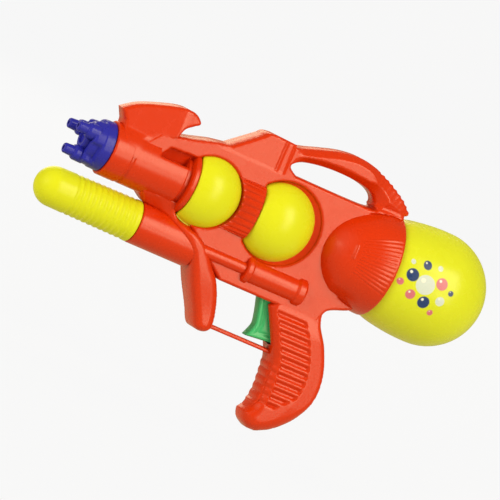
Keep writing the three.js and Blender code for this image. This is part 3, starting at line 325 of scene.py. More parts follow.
panel = np.vstack([
    [[-118, 8]],
    curve([[-104, 24], [-93, 26.4], [-79, 29.5], [-64, 33.7], [-52.3, 35.8]]),
    curve([[-33.5, 51], [-30.5, 53.8], [-24.6, 54.8]]),
    carry,
    [[88.9, 40.8], [88, 39.6], [86.5, 39.2], [86.5, 34.8], [84, 0], [83.4, -30]],
    curve([[82.2, -32.8], [80, -34.2], [74.1, -37.2], [66, -40.2], [61.6, -42.8], [59.6, -47]]),
    [[56, -56.3], [26, -52.3], [-21.2, -52.3], [-44, -36], [-70, -14]],
])
hand_hole = curve([[0, 34.2], [59, 34.2], [62.8, 37.8], [59.6, 43.4], [50.5, 47], [35, 48.4], [18.7, 48],
                   [3.7, 45.6], [-5.3, 42], [-6.6, 38.4], [0, 34.2]], 10)
rail_gap = [[-99, 8], [-92.5, 17.6], [-74, 18.4], [-68, 19], [-68, 8]]
rail_web = [[-104, 4], [-92, 24.5], [-68, 22], [-68, 4]]


def cup_room(x, z):
    """Depth inside the cup's room for the tank: an ellipse up to its widest, then straight."""
    half = np.where(z < 0, ROOM_BELOW, ROOM_ABOVE)
    oval = (1 - np.hypot((x - CUP_WIDEST) / ROOM_LENGTH, z / half)) * half
    return np.minimum(np.where(x < CUP_WIDEST, oval, half - np.abs(z)), x - ROOM_FRONT)


def panel_depth(x, z):
    """Depth inside the panel, less the hand hole, the gap under the rail, the dome wells and the room."""
    front = np.minimum(FRONT_DOME[1] + FRONT_WELL_GAP - np.hypot(x - FRONT_DOME[0], z), x - FRONT_WELL_EDGE)
    rear = np.minimum(REAR_WELL[2] - np.hypot(x - REAR_WELL[0], z - REAR_WELL[1]), x - REAR_WELL_EDGE)
    holes = [inside(x, z, hand_hole), inside(x, z, rail_gap), front, rear, cup_room(x, z)]
    return np.minimum(inside(x, z, panel), -np.max(holes, 0))


def panel_height(x, z, d):
    """The flat panel; over it the hump is set in a little and leans, with two lines across it, and the carry
    handle has a flat ridge between two sloping bands."""
    hump = ease(z, 31.6, 32.8) * span(x, -62, -58, -11, -9.5)
    lean = HUMP_SET_IN + HUMP_LEAN * np.clip(z - 32.3, 0, 30)
    lines = bell(x, -16, 0.7) * 0.7 + bell(x, -9.6, 0.9) * 0.9
    handle = ease(x, -8, 2) * ease(z, 34.5, 40)
    width = HANDLE_BAND + HANDLE_WIDENING * ease(x, 48, 66)
    band = np.clip(width - d, 0, width) / width
    drop = HANDLE_DROP * (1 - 0.25 * ease(x, 66, 84))
    under_cup = (x > 58) & (np.abs(z) < 30)
    edge = rounded(d, EDGE_ROUND) * (1 - handle * 0.7) * ~under_cup
    return PANEL_HALF - hump * (lean + lines) - handle * band * drop - edge


def panel_foot(x, z):
    """Foot of the panel's walls: the middle plane, but near the face round the cup's room."""
    near_face = np.where(np.abs(z) < 30, 12.2, 10)
    top = np.where(x < 66, 32.6, 36.3)
    return np.where((x > 60) & (z > -33.7) & (z < top), near_face, SEAM)


def web_height(x, z, d):
    """The web under the rail, which leans out upwards."""
    return 4 + 0.4 * (z - 8)


rail_web_part = lifted(moulding(within(rail_web), (-106, 2), (-66, 27), 1.0, web_height), AXIS_HEIGHT)

# The sight fin over the muzzle, which widens downwards and flows into the barrel and back into the rail.
BARREL_RADIUS = 19.6
FIN_HALF, FIN_FLARE, FIN_TAPER = 10.4, 0.16, 0.15
FIN_TOP, FIN_REAR = 44, -92
BLEND = 3
fin = np.vstack([
    curve([[-134.5, 29.5], [-124, 36.5], [-108.9, 42.2], [-94, 46.2], [-84.6, 45.7], [-79, 40.8],
           [-83.1, 37.3], [-88.6, 33], [-91.5, 25.4]]),
    curve([[-91.5, 25.4], [-97.5, 20.5], [-105, 15], [-111, 8.5], [-114, 2]])[1:],
    [[-126, 2], [-130, 22.5]],
])


def fin_height(x, z, d):
    """A side that leans out downwards and in towards the muzzle, blended into the round of the barrel: the
    log of the sum of both as powers. Its foot is soft where it meets the rail."""
    side = FIN_HALF + FIN_FLARE * (FIN_TOP - z) - 1.2 * ease(x, FIN_REAR, -80)
    side = side - FIN_TAPER * np.clip(FIN_REAR - x, 0, 45)
    barrel_side = np.sqrt(BARREL_RADIUS**2 - np.clip(z, -19, 19.5)**2)
    flare = BLEND * np.logaddexp(side / BLEND, barrel_side / BLEND - 0.13)
    upper = flare - rounded(d, EDGE_ROUND) * ease(z, 6, 14)
    base = np.maximum(barrel_side, 12.4) - 0.5
    foot = ease(x, -120, -110) * (1 - ease(z, 21, 27))
    return upper + foot * (base + (flare - base) * ease(d, 0, 11) - upper)


# Barrel with its front ring, groove and collar over the front dome, then the fluted connector and the cup.
BARREL_FLAT = 9.8
CONNECTOR_HALF, CONNECTOR_FLOOR, CONNECTOR_ROOT = 19.4, 12, 8
CONNECTOR_CROWN, CONNECTOR_RISE = 2.6, 7.4
FLUTES, FLUTE_DEPTH = 24, 0.9
FAN_PITCH, FAN_RIB, FAN_SINK, FAN_LINE = 5.2, 0.5, 0.33, 0.95
barrel = [[-132.5, 5.8], [-132.5, 18.9], [-131.8, 19.6], [-118.6, 19.7], [-117.8, 18.7], [-116.2, 18.7],
          [-115.4, 19.4], [-77, 19.6], [-76, 18.6], [-75.8, 17.8], [-72.9, 17.8], [-72.5, 22.2],
          [-71.8, 23], [-69.4, 23], [-68.6, 22.2], [-68.6, 14]]
bend = np.linspace(0, math.pi / 2, 60)
cup = np.vstack([
    np.column_stack([CUP_WIDEST - CUP_LENGTH * np.cos(bend), CUP_RADIUS * np.sin(bend)]),
    [[85.4, 37.8], [86.4, 37.8], [87, 37.2]],
])
cup_rim = [[87, 37.2], [87, 35.4], [84, 35.2], [72, 34], [62.3, 31.3], [62.3, 15.3]]


def barrel_reach(x, radius, angle):
    """The barrel's rear top is cut flat under the rail."""
    flat = BARREL_FLAT / np.maximum(np.sin(angle), 0.05)
    return np.where((x > -98.5) & (x < -75.5), np.minimum(radius, flat), radius)


def fan(x, radius, angle):
    """Fine ribs on the cup's side that spread towards the rim, a short raised line before them, and a
    flatter underside."""
    turn = np.degrees(angle)
    spread = turn / (0.68 + 0.32 * (x - 59) / 27)
    ribs = np.abs(np.sin(math.pi * spread / FAN_PITCH))
    zone = span(x, 58.5, 60, 83.5, 86) * (1 - ease(np.abs(spread - 7), 33, 35))
    line = bell(x, 55.4, 0.5) * span(turn, -4, -1, 17, 20)
    skin = CUP_RADIUS * np.sqrt(np.clip(1 - ((CUP_WIDEST - x) / CUP_LENGTH)**2, 0, 1))
    outer = ease(radius - skin, -1.6, -0.6) * ease(radius, 30, 35)
    under = (2.3 - 1.3 * ease(x, 68, 85)) * np.sin(np.minimum(angle, 0))**2
    return radius + zone * (FAN_RIB * ribs - FAN_SINK) + FAN_LINE * line - under * outer


def connector():
    """A fluted bridge from the front dome's round edge to the rear well, higher at its rear: across it the
    height goes with the cosine to the power 0.8, less flutes that are a squared half wave."""
    along, turn = np.meshgrid(np.linspace(0, 1, 13), np.linspace(-math.pi / 2, math.pi / 2, 209),
                              indexing="ij")
    z = CONNECTOR_HALF * np.sin(turn)
    dome_edge = FRONT_DOME[0] + np.sqrt((FRONT_DOME[1] + 1.0)**2 - z**2)
    share = np.clip(along * 1.1 - 0.05, 0, 1)
    flutes = (0.5 - 0.5 * np.cos(turn * FLUTES))**2 * span(along, 0.08, 0.2, 0.86, 0.95)
    crown = CONNECTOR_FLOOR + (CONNECTOR_CROWN + CONNECTOR_RISE * share) * np.cos(turn) ** 0.8
    crown = np.where((along < 0.02) | (along > 0.98), CONNECTOR_ROOT, crown - FLUTE_DEPTH * flutes)
    return sheet(dome_edge + share * (REAR_WELL_EDGE - dome_edge), -crown, AXIS_HEIGHT + z)


barrel_part = turned(barrel, HALF_TURN, (0, AXIS_HEIGHT), barrel_reach)
cup_part = joined(turned(cup, np.linspace(-math.pi / 2, math.pi / 2, 301), (0, AXIS_HEIGHT), fan),
                  turned(cup_rim, HALF_TURN, (0, AXIS_HEIGHT), fan))

# Sloping side of the well round the rear dome, the pump housing and the two relief bars on the panel.
# A ring of the well has its middle along and over the barrel's axis, its radius and its height.
WELL_TOP, WELL_FLOOR = 11.4, 8.7
BAR_HEIGHT = PUMP_HEIGHT + 1
ring = np.linspace(0, 2 * math.pi, 73)
well = np.array([
    (*REAR_WELL, WELL_TOP),
    (REAR_DOME[0], 0, REAR_DOME[1] + 1.6, WELL_FLOOR),
    (REAR_DOME[0], 0, REAR_DOME[1] - 2, WELL_FLOOR),
])
well_x, well_z, well_radius, well_height = well.T[:, :, None]
well_part = sheet(well_x + well_radius * np.cos(ring), -well_height,
                  AXIS_HEIGHT + well_z + well_radius * np.sin(ring), flipped=True)
housing = [[-91.7, 4.6], [-91.7, 14.4], [-91, 15.2], [-46, 15.2], [-44, 13], [-44, 4]]
thin_bar = [[-43, 0], [-43, 3.6], [-42, 4.4], [-5, 4.4], [-4, 0]]
thick_bar = [[-7.4, 0], [-7.4, 9], [-6.6, 9.8], [-3.4, 9.8], [-2.6, 9], [-2.2, 8.6], [32.6, 8.6],
             [33.2, 9.2], [34.2, 10.2], [38.6, 10.2], [40.2, 9], [40.8, 6], [41, 0]]
housing_part = turned(housing, HALF_TURN, (0, PUMP_HEIGHT))
bar_parts = [turned(thin_bar, HALF_TURN, (-11.5, BAR_HEIGHT)),
             turned(thick_bar, HALF_TURN, (-9.1, BAR_HEIGHT))]

# The post before the trigger, which runs up in a band along the barrel, and the bar under the trigger.
POST_HALF, POST_RISE, POST_TAPER = 9.8, 6.6, 2.0
BAND_FOOT, BAND_LEAN, BAND_ROUND = 3.5, 0.8, 1.5
POST_ROUND, POST_FOOT_ROUND = 4, 1.6
GUARD_HALF, GUARD_ROUND = 5, 0.9
post = np.vstack([
    [[-99.5, 124]],
    curve([[-98, 119.6], [-92.5, 115.9], [-84, 114.6], [-75, 112.5], [-62.2, 107.1], [-50.6, 99.1],
           [-46, 91.4], [-38.9, 77.3], [-28.6, 60.5], [-25.2, 54.2], [-22.4, 50.6], [-18.6, 49.6],
           [-14, 50.6], [-11.4, 53.6], [-11.4, 60], [-13.4, 67.5], [-17, 76.5], [-22.8, 86.6], [-30, 94],
           [-36.5, 101], [-43.4, 107], [-52, 110.8], [-60, 112.4], [-66, 114.6], [-69.6, 118.4]]),
    [[-70, 126]],
])
guard = [[-14, 53.7], [46, 53.7], [46, 56.4], [-14, 56.4]]


def post_height(x, z, d):
    """The band starts low under the barrel, rises over the end of the pump housing and runs down into the
    post."""
    rise = POST_HALF + POST_RISE * ease(x, -86, -48) - POST_TAPER * (1 - ease(z, 58, 92))
    under = BAND_FOOT + BAND_LEAN * np.clip(z - 113, 0, 13)
    share = ease(x, -88, -62)
    radius = share * (POST_ROUND + POST_FOOT_ROUND * (1 - ease(z, 86, 108))) + (1 - share) * BAND_ROUND
    return under + share * (rise - under) - rounded(d, radius)


def guard_height(x, z, d):
    """A narrow bar with rounded edges."""
    return GUARD_HALF - rounded(d, GUARD_ROUND)


guard_part = moulding(within(guard), (-15, 52), (47, 57), 0.45, guard_height)

# The grip: ribs across its sides, finger ribs round its front, a smooth border behind and a rounded toe.
GRIP_HALF, GRIP_SET_IN = 15, 2.7
GRIP_RIB_PITCH, GRIP_RIB_BASE, GROOVE_DEPTH = 5.55, 24.2, 1.9
BEVEL_WIDTH, BEVEL_SLOPE = 4.8, 0.72
FINGER_RIB_BASE, FINGER_RIB, FINGER_WRAP = 21.4, 0.95, 1.3
NOSE_HALF, NOSE_BULGE, NOSE_BACK = 10.3, 1.9, 0.5
SLOT_HALF = 6.4
grip_front = curve([[36.6, 11], [41.8, 19], [43, 27], [42.2, 37.5], [40.2, 50], [36.6, 58.5], [32, 67],
                    [27.4, 75], [21.5, 85]], 24)
grip_back = curve([[59, 3.9], [67.6, 10.6], [75.6, 20.8], [80.9, 37], [79.6, 54.3], [72.2, 71.8],
                   [63.4, 85], [60.6, 93]])
grip = np.vstack([curve([[45, 0.6], [39, 4.4], [36.6, 11]])[:-1], grip_front, [[34, 98], [50, 104]],
                  grip_back[::-1], [[51.5, 0.6]]])


def finger_ribs(z):
    """Where the finger ribs are, and their wave: the size of a sine."""
    return span(z, 17.5, 19.5, 47, 50), np.abs(np.sin(math.pi * (z - FINGER_RIB_BASE) / GRIP_RIB_PITCH))


def grip_height(x, z, d):
    """The grip's side: level with the panel at the top, bevelled in front where the finger ribs run round
    it, with bars across it and grooves between them, and a smooth border behind."""
    margin = np.interp(z, grip_back[:, 1], grip_back[:, 0]) - x
    lead = x - np.interp(z, grip_front[:, 1], grip_front[:, 0])
    room = 12.8 + 0.6 * np.clip(33 - z, 0, 14)
    zone = ease(lead, 4.6, 6) * ease(margin, room, room + 1.5) * span(z, 19, 21.5, 84, 86)
    groove = 0.5 - 0.5 * np.cos(2 * math.pi * (z - GRIP_RIB_BASE) / GRIP_RIB_PITCH)
    bevel = np.clip(BEVEL_WIDTH - lead, 0, BEVEL_WIDTH) * BEVEL_SLOPE * ease(z, 8, 16)
    edge = rounded(np.minimum(d, margin + 3), 3.5 + 5 * (1 - ease(z, 14, 36)))
    edge *= 0.3 + 0.7 * np.maximum(ease(lead, 5, 12), 1 - ease(z, 8, 22))
    lean = (0.07 * np.clip(13 - margin, 0, 13) + 0.05 * np.clip(26 - z, 0, 26)) * (1 - ease(z, 76, 92))
    finger_zone, wave = finger_ribs(z)
    fingers = FINGER_WRAP * finger_zone * (1 - ease(lead, 3.2, 4.6)) * (wave - 0.75)
    side = GRIP_HALF - GRIP_SET_IN * ease(z, 74, 92) - bevel - edge - lean
    return side - GROOVE_DEPTH * zone * groove + fingers


def trigger_slot(x, z):
    """Foot of the grip's walls: the middle plane, but the sides of a slot where the trigger goes in."""
    return np.where((z > 60) & (z < 97) & (x < 42), SLOT_HALF, SEAM)


def grip_nose():
    """The grip's round front with its finger ribs: it bulges with the sine of the turn from the side."""
    z, turn = np.meshgrid(np.arange(9, 58.5, 0.35), np.linspace(0, math.pi / 2, 17), indexing="ij")
    half = NOSE_HALF * (0.5 + 0.5 * ease(z, 9, 22))
    zone, wave = finger_ribs(z)
    out = NOSE_BULGE * span(z, 11, 19, 51, 58) * np.sin(turn)
    out = out + FINGER_RIB * zone * wave * np.sin(turn) ** 0.4
    edge = np.interp(z, grip_front[:, 1], grip_front[:, 0]) + NOSE_BACK
    return sheet(edge - out, -half * np.cos(turn) - SEAM, z, flipped=True)


def plain(part_depth, lift=0.0):
    """The depth inside a face as it is."""
    return part_depth


def drilled(part_depth, lift=0.0):
    """The depth inside a face less the wells for the screw heads."""
    def depth(x, z):
        holes = [SCREW_WELL - np.hypot(x - sx, z + lift - sz) for sx, sz in SCREWS]
        return np.minimum(part_depth(x, z), -np.max(holes, 0))
    return depth


round_parts = [barrel_part, connector(), cup_part, well_part, rail_web_part, housing_part, *bar_parts,
               guard_part, grip_nose()]


def half_shell(cut):
    """One half of the body: its moulded faces, plain or drilled, and its round parts."""
    side = moulding(cut(panel_depth, AXIS_HEIGHT), (-120, -58), (93, 66), CELL, panel_height, panel_foot)
    blade = moulding(cut(within(fin), AXIS_HEIGHT), (-137, 0), (-76, 49), 0.8, fin_height)
    column = moulding(cut(within(post)), (-102, 48), (-9, 127), CELL, post_height)
    hold = moulding(cut(within(grip)), (19, -2), (84, 106), 0.75, grip_height, trigger_slot)
    return joined(lifted(side, AXIS_HEIGHT), lifted(blade, AXIS_HEIGHT), column, hold, *round_parts)


piece("left_shell_skin", half_shell(plain), red_plastic, "body", "shell_red", "left_shell")
piece("right_shell_skin", mirrored(half_shell(drilled)), red_plastic, "body", "shell_red", "right_shell")

# Domes: four thin caps of glossy yellow plastic, part of a ball, set into the panels' wells from inside.
# A lip behind the panel holds each one, and the collar or the connector stands over its front edge.
yellow_plastic = plastic("yellow_plastic", (0.70, 0.76, 0.018), (0.67, 0.73, 0.014), rough=0.28, gloss=0.24,
                         glow=0.06)
LIP_TOP, LIP_FOOT, LIP_WIDTH = 8.6, 7.4, 2.8


def cap(x, radius, apex, front):
    """Part of a ball that meets the panel's face in a circle and stands to the apex, with a lip behind it.
    What lies before the flat front edge is folded back on to it."""
    centre = (apex**2 - PANEL_HALF**2 - radius**2) / (2 * (apex - PANEL_HALF))
    ball = apex - centre
    swing = np.linspace(0, math.acos((LIP_TOP - centre) / ball), 40)
    r = np.r_[ball * np.sin(swing), radius + LIP_WIDTH, radius + LIP_WIDTH, radius - 1]
    y = np.r_[centre + ball * np.cos(swing), LIP_TOP, LIP_FOOT, LIP_FOOT]
    along = np.maximum(x + np.outer(r, np.cos(FULL_TURN)), front)
    return sheet(along, -y[:, None], AXIS_HEIGHT + np.outer(r, np.sin(FULL_TURN)))


for place, sizes in (("front", FRONT_DOME), ("rear", REAR_DOME)):
    left, right = cap(*sizes), mirrored(cap(*sizes))
    piece(f"left_{place}_dome_cap", left, yellow_plastic, "body", "tank_yellow", f"left_{place}_dome")
    piece(f"right_{place}_dome_cap", right, yellow_plastic, "body", "tank_yellow", f"right_{place}_dome")

# Shell screws: eight of plated steel, each with a crowned head and a cross recess.
# They are driven from wells in the right half into bosses of the left one.
steel = bpy.data.materials.new("plated_steel")
steel.use_nodes = True
paint = Paint(steel.node_tree)
brushed = paint.noise(paint.add("ShaderNodeTexCoord", output="Object"), 800.0, 4.0)
paint.feed(steel.node_tree.nodes["Principled BSDF"], {
    "Base Color": mix(brushed, (0.55, 0.56, 0.57, 1), (0.42, 0.43, 0.45, 1)),
    "Metallic": 1.0,
    "Roughness": brushed * 0.25 + 0.2,
    "Normal": paint.bump(0.08, 0.0002, brushed),
})
HEAD_RADIUS, HEAD_TOP, HEAD_FOOT = 3.1, 7.2, 1.0
HEAD_CROWN = 0.09
HEAD_CELL = 0.225
CROSS_WIDTH, CROSS_REACH, CROSS_DEPTH = 0.45, 1.8, 1.1


def screw_head(sx, sz):
    """A round head at one place: a low crown with a cross pressed into it."""
    def depth(x, z):
        return HEAD_RADIUS - np.hypot(x - sx, z - sz)

    def crown(x, z, d):
        across, up = np.abs(x - sx), np.abs(z - sz)
        arms = (np.minimum(across, up) < CROSS_WIDTH) * (np.maximum(across, up) < CROSS_REACH)
        return HEAD_TOP - HEAD_CROWN * ((x - sx)**2 + (z - sz)**2) - CROSS_DEPTH * arms

    return moulding(depth, (sx - 3.6, sz - 3.6), (sx + 3.7, sz + 3.7), HEAD_CELL, crown, HEAD_FOOT)


for number, (sx, sz) in enumerate(SCREWS, 1):
    piece(f"screw_{number}", mirrored(screw_head(sx, sz)), steel, "body", "steel", f"shell_screw_{number}")

# Nozzle head: a stepped drum of blue plastic that turns on its stub.
# Three spouts stand on its face, with a notch in the drum's edge between each two.
blue_plastic = plastic("blue_plastic", (0.026, 0.029, 0.50), (0.020, 0.022, 0.41), rough=0.28, gloss=0.25)
FIRST_SPOUT, SPOUT_CIRCLE = 0.07, 11.5
NOTCH_DEPTH = 3.4
drum = [[-133.0, 5.8], [-132.8, 17.2], [-133.2, 17.8], [-139.6, 17.6], [-140, 17.1], [-140.5, 17.1],
        [-146, 16.6], [-147.4, 15.8], [-147.8, 14.6], [-147.8, 12.8], [-146.4, 12.4], [-146.4, 8.4],
        [-150.2, 8.0], [-151, 7.2], [-151, 4.6], [-149.4, 4.2], [-149.4, 0]]
spout = [[-145, 5.8], [-152.0, 5.6], [-153.2, 5.0], [-153.6, 4.0], [-159.8, 3.6], [-160.5, 3.0],
         [-160.5, 1.5], [-154, 1.3], [-154, 0]]


def notched(x, radius, angle):
    """Three wide gaps in the drum's front edge, between the spouts."""
    gap = ease(-np.cos(3 * (angle - FIRST_SPOUT + math.pi / 2)), 0.0, 0.5)
    return radius - NOTCH_DEPTH * gap * ease(-x, 140.5, 141.5) * ease(radius, 11, 12.5)


def outwards(part):
    """The same surface with its faces turned round, for profiles that run towards the muzzle."""
    return part[0], part[1][:, ::-1]


spouts = []
for turn in FIRST_SPOUT + 2 * math.pi * np.arange(3) / 3:
    middle = (-SPOUT_CIRCLE * math.sin(turn), AXIS_HEIGHT - SPOUT_CIRCLE * math.cos(turn))
    spouts.append(turned(spout, FULL_TURN[::3], middle))
nozzle = joined(turned(drum, FULL_TURN, (0, AXIS_HEIGHT), notched), *spouts)
piece("nozzle_drum", outwards(nozzle), blue_plastic, "nozzle", "nozzle_blue", "nozzle_head")

# Tank: a blow-moulded bottle of glossy yellow plastic with a ball end and a plain print on its left side.
# Its threaded neck screws into the collar in the cup.
tank_plastic = plastic("tank_plastic", (0.68, 0.76, 0.026), (0.65, 0.73, 0.020), rough=0.27, gloss=0.28,
                       glow=0.10)
TANK_RADIUS, TANK_BALL = 41, 128
NECK_RADIUS, NECK_BORE = 11.4, 9.4
THREAD_PITCH, THREAD_START, THREAD_HEIGHT = 4, 52, 0.7
NAVY, ROSE, PALE = (0.020, 0.050, 0.210), (0.62, 0.17, 0.26), (0.60, 0.70, 0.76)
GLINT = (0.80, 0.84, 0.88)
BUBBLES = [(109, 142, 7.2, PALE), (120, 147, 4.6, ROSE), (98, 145, 4.8, NAVY), (113, 130.5, 4.6, NAVY),
           (102, 132, 3.8, ROSE), (123.5, 135.5, 3.6, PALE), (91.8, 137.5, 2.8, ROSE),
           (106, 155, 3.4, NAVY), (128.6, 143.5, 2.3, NAVY), (121, 125.6, 2.4, ROSE),
           (115.6, 156.4, 2.2, PALE), (95.6, 153.6, 2.0, PALE)]
swell = curve([[87.6, 35.3], [89.6, 36.1], [93.5, 37.4], [99.6, 38.7], [110.6, 40.2], [120, 40.9],
               [TANK_BALL, TANK_RADIUS]])
shoulder = curve([[66.5, 13.5], [69, 22], [74, 29.5], [79, 32.4], [85, 33.8], [87.2, 34]])
ball = np.linspace(0, math.pi / 2, 36)[1:]
bottle = np.vstack([
    [[66, NECK_BORE], [50, NECK_BORE]],
    np.column_stack([np.linspace(50, 64, 57), np.full(57, NECK_RADIUS)]),
    [[65.4, 12]],
    shoulder,
    [[87.6, 34.4]],
    swell,
    np.column_stack([TANK_BALL + TANK_RADIUS * np.sin(ball), TANK_RADIUS * np.cos(ball)]),
])


def bubbles(material, spots):
    """Prints round spots on the left side over the plastic's own colour, each with a small light mark. A
    spot's cover is 1 less its distance from the middle over its radius, times a sharpness, from 0 to 1."""
    paint = Paint(material.node_tree)
    shader = material.node_tree.nodes["Principled BSDF"]
    colour = Paint(material.node_tree, shader.inputs["Base Color"].links[0].from_socket)
    place = paint.add("ShaderNodeTexCoord", output="Object")
    x, y, z = (paint.add("ShaderNodeSeparateXYZ", (), {0: place}, axis) for axis in "XYZ")
    left = paint.reckon("LESS_THAN", y)
    for sx, sz, radius, ink in spots:
        for dx, dz, size, tone in ((0, 0, radius, ink), (-0.35, 0.35, radius * 0.28, GLINT)):
            across, up = x - (sx + dx * radius) * 0.001, z - (sz + dz * radius) * 0.001
            far = paint.reckon("SQRT", across * across + up * up)
            cover = paint.add("ShaderNodeMath", {"operation": "MULTIPLY", "use_clamp": True},
                              {0: 1 - far * (1000 / size), 1: size * 1.6})
            colour = mix(cover * left, colour, (*tone, 1))
    paint.feed(shader, {"Base Color": colour})


def threaded(x, radius, angle):
    """A thread round the neck: a ridge whose place moves one pitch in a turn."""
    ridge = np.maximum(0, np.cos(2 * math.pi * (x - THREAD_START) / THREAD_PITCH - angle)) ** 2
    neck = span(x, 51, 52.5, 62, 63.5) * (radius > 10)
    return radius + THREAD_HEIGHT * ridge * neck


bubbles(tank_plastic, BUBBLES)
tank_part = turned(bottle, np.linspace(0, 2 * math.pi, 129), (0, AXIS_HEIGHT), threaded)
piece("tank_bottle", tank_part, tank_plastic, "tank", "tank_yellow", "tank")

# Pump handle: a yellow plastic sleeve with a round nose and grip ribs.
# It is pinned to the white plastic rod, which slides out of the housing with it.
HANDLE_FRONT, HANDLE_RADIUS = -169, 14.2
HANDLE_RIB_PITCH, HANDLE_RIB_DEPTH = 4.4, 0.6
nose = np.linspace(0, math.pi / 2, 24)
ribs_x = np.linspace(-143, -95, 220)
widening = 0.8 * (ribs_x - HANDLE_FRONT) / 77
wave = (0.5 - 0.5 * np.cos(2 * math.pi * (ribs_x + 143.4) / HANDLE_RIB_PITCH)) ** 0.8
sleeve = np.vstack([
    np.column_stack([HANDLE_FRONT + HANDLE_RADIUS * (1 - np.cos(nose)), HANDLE_RADIUS * np.sin(nose)]),
    np.column_stack([ribs_x, HANDLE_RADIUS + widening - HANDLE_RIB_DEPTH * wave]),
    [[-94.6, 14.9], [-93, 15.1], [-92.3, 14.7], [-92, 14.2], [-92, 11.6], [-150, 11.6], [-160, 9],
     [-160, 6.4], [-144, 6.4], [-144, 3.8], [-160, 3.8]],
])
sleeve_part = turned(sleeve, FULL_TURN, (0, PUMP_HEIGHT))
piece("pump_sleeve", sleeve_part, yellow_plastic, "pump", "tank_yellow", "pump_handle")
rod = [[-160, 0], [-160, 3.2], [-159.6, 3.5], [-28.3, 3.5], [-28, 2.5], [-21, 2.5], [-21, 0]]
rod_part = turned(rod, FULL_TURN[::2], (0, PUMP_HEIGHT))
white_plastic = plastic("white_plastic", (0.80, 0.80, 0.76), (0.74, 0.74, 0.70), rough=0.42)
piece("pump_rod_round", rod_part, white_plastic, "pump", "inner_white", "pump_rod")

# Trigger: satin green plastic, curved for one finger, on a pin through both shells.
# Its narrow arm goes up inside the body to the valve's stem.
green_plastic = plastic("green_plastic", (0.055, 0.52, 0.23), (0.042, 0.45, 0.18), rough=0.30, gloss=0.35)
TRIGGER_HALF, TRIGGER_ROUND, TRIGGER_LINE = 5.2, 1.8, 0.8
ARM_HALF, ARM_ROUND = 2, 0.4
TRIGGER_CELL = 0.6
blade = np.vstack([
    [[16, 98]],
    curve([[14.8, 86.2], [17.6, 77.5], [19.5, 70], [19.3, 66.4], [17.8, 62.2], [16.4, 59]]),
    [[27, 60], [41, 61.4], [39.5, 69], [39.5, 76], [33, 83], [29, 94], [29, 98], [26, 101], [22, 101]],
])
arm = [[21.1, 96], [21.8, 123], [26, 123], [28, 96]]


def blade_height(x, z, d):
    """A flat side with rounded edges and a shallow line along them."""
    return TRIGGER_HALF - rounded(d, TRIGGER_ROUND) - TRIGGER_LINE * bell(d, 4.5, 1.1)


def arm_height(x, z, d):
    """A narrow flat side with a small rounding."""
    return ARM_HALF - rounded(d, ARM_ROUND)


half_trigger = joined(moulding(within(blade), (13, 56), (43, 103), TRIGGER_CELL, blade_height, 0.0),
                      moulding(within(arm), (20, 95), (30, 125), TRIGGER_CELL, arm_height, 0.0))
trigger_part = joined(half_trigger, mirrored(half_trigger))
piece("trigger_blade", trigger_part, green_plastic, "trigger", "trigger_green", "trigger")

# Springs of the valve and the trigger: each one unbroken coil of steel wire between two seats.
# They shorten as the trigger is pulled; here each one fills its node's box as it stands.
# A spring has its node, half its wire's thickness, its turns, the end that stands still and its travel.
SPRINGS = (("valve_spring", 0.45, 3, 0, 4.9), ("trigger_spring", 0.55, 4, 1, 5.6))


def coil(node, wire, turns):
    """A tube of round wire along a helix that fills the box of a node: the wire's middle goes along x as it
    turns."""
    low, high = (np.array(corner) * 1000 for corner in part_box(node))
    share = np.linspace(0, 1, 36 * turns + 1)
    share, thick = np.r_[0, share, 1], np.r_[0, np.full(share.size, wire), 0]
    turn, around = np.meshgrid(2 * math.pi * turns * share, FULL_TURN[::8], indexing="ij")
    out = (high[2] - low[2]) / 2 - wire + thick[:, None] * np.cos(around)
    travel = (high[0] - low[0] - 2 * wire) * share[:, None]
    along = low[0] + wire + travel + thick[:, None] * np.sin(around)
    middle = (low + high) / 2
    return sheet(along, middle[1] - out * np.cos(turn), middle[2] + out * np.sin(turn), flipped=True)


for node, wire, turns, seat, travel in SPRINGS:
    made = piece(f"{node}_coil", coil(node, wire, turns), steel, "body", "steel", node)
    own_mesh(made)

# Inner pieces: pump, valve, hoses, seals and pins stay as they were cut, each in its own finish.
# They are hidden by the shells unless the squirter is opened.
rubber = plastic("black_rubber", (0.018, 0.018, 0.018), (0.03, 0.03, 0.03), rough=0.75, grain=0.1)
hose_plastic = plastic("hose_plastic", (0.62, 0.68, 0.69), (0.52, 0.60, 0.62), rough=0.25)
finishes = {"inner_white": white_plastic, "seal_rubber": rubber, "hose_clear": hose_plastic, "steel": steel}
for entry in frame["record"]["subparts"]:
    node = frame["nodes"][entry["node"]]
    if not node.hide_render and entry["material_slot"] in finishes:
        node.data.materials.clear()
        node.data.materials.append(finishes[entry["material_slot"]])

# Stage: a round pale floor that sweeps up into a wall, soft lamps and the camera at the photograph's angle.
# Nothing here belongs to the squirter. Sizes in this section are in metres.
AIM = Vector((-0.0047, 0, 0.1142))
AZIMUTH, RISE, ROLL = -21.54, 2.3, 24.4
CAMERA_DISTANCE, CAMERA_LENS = 4.48, 467.5
LAMP_DISTANCE, LAMP_COLOUR = 5.2, (1, 0.88, 0.60)
FLOOR_RADIUS, FLOOR_SWEEP, WALL_HEIGHT = 8.4, 0.6, 0.9
FLOOR_LIGHT = 0.925


def direction(azimuth, rise):
    """The way from the aim to a place, by its angle round the squirter and its angle over the floor."""
    a, b = math.radians(azimuth), math.radians(rise)
    return Vector((math.sin(a) * math.cos(b), -math.cos(a) * math.cos(b), math.sin(b)))


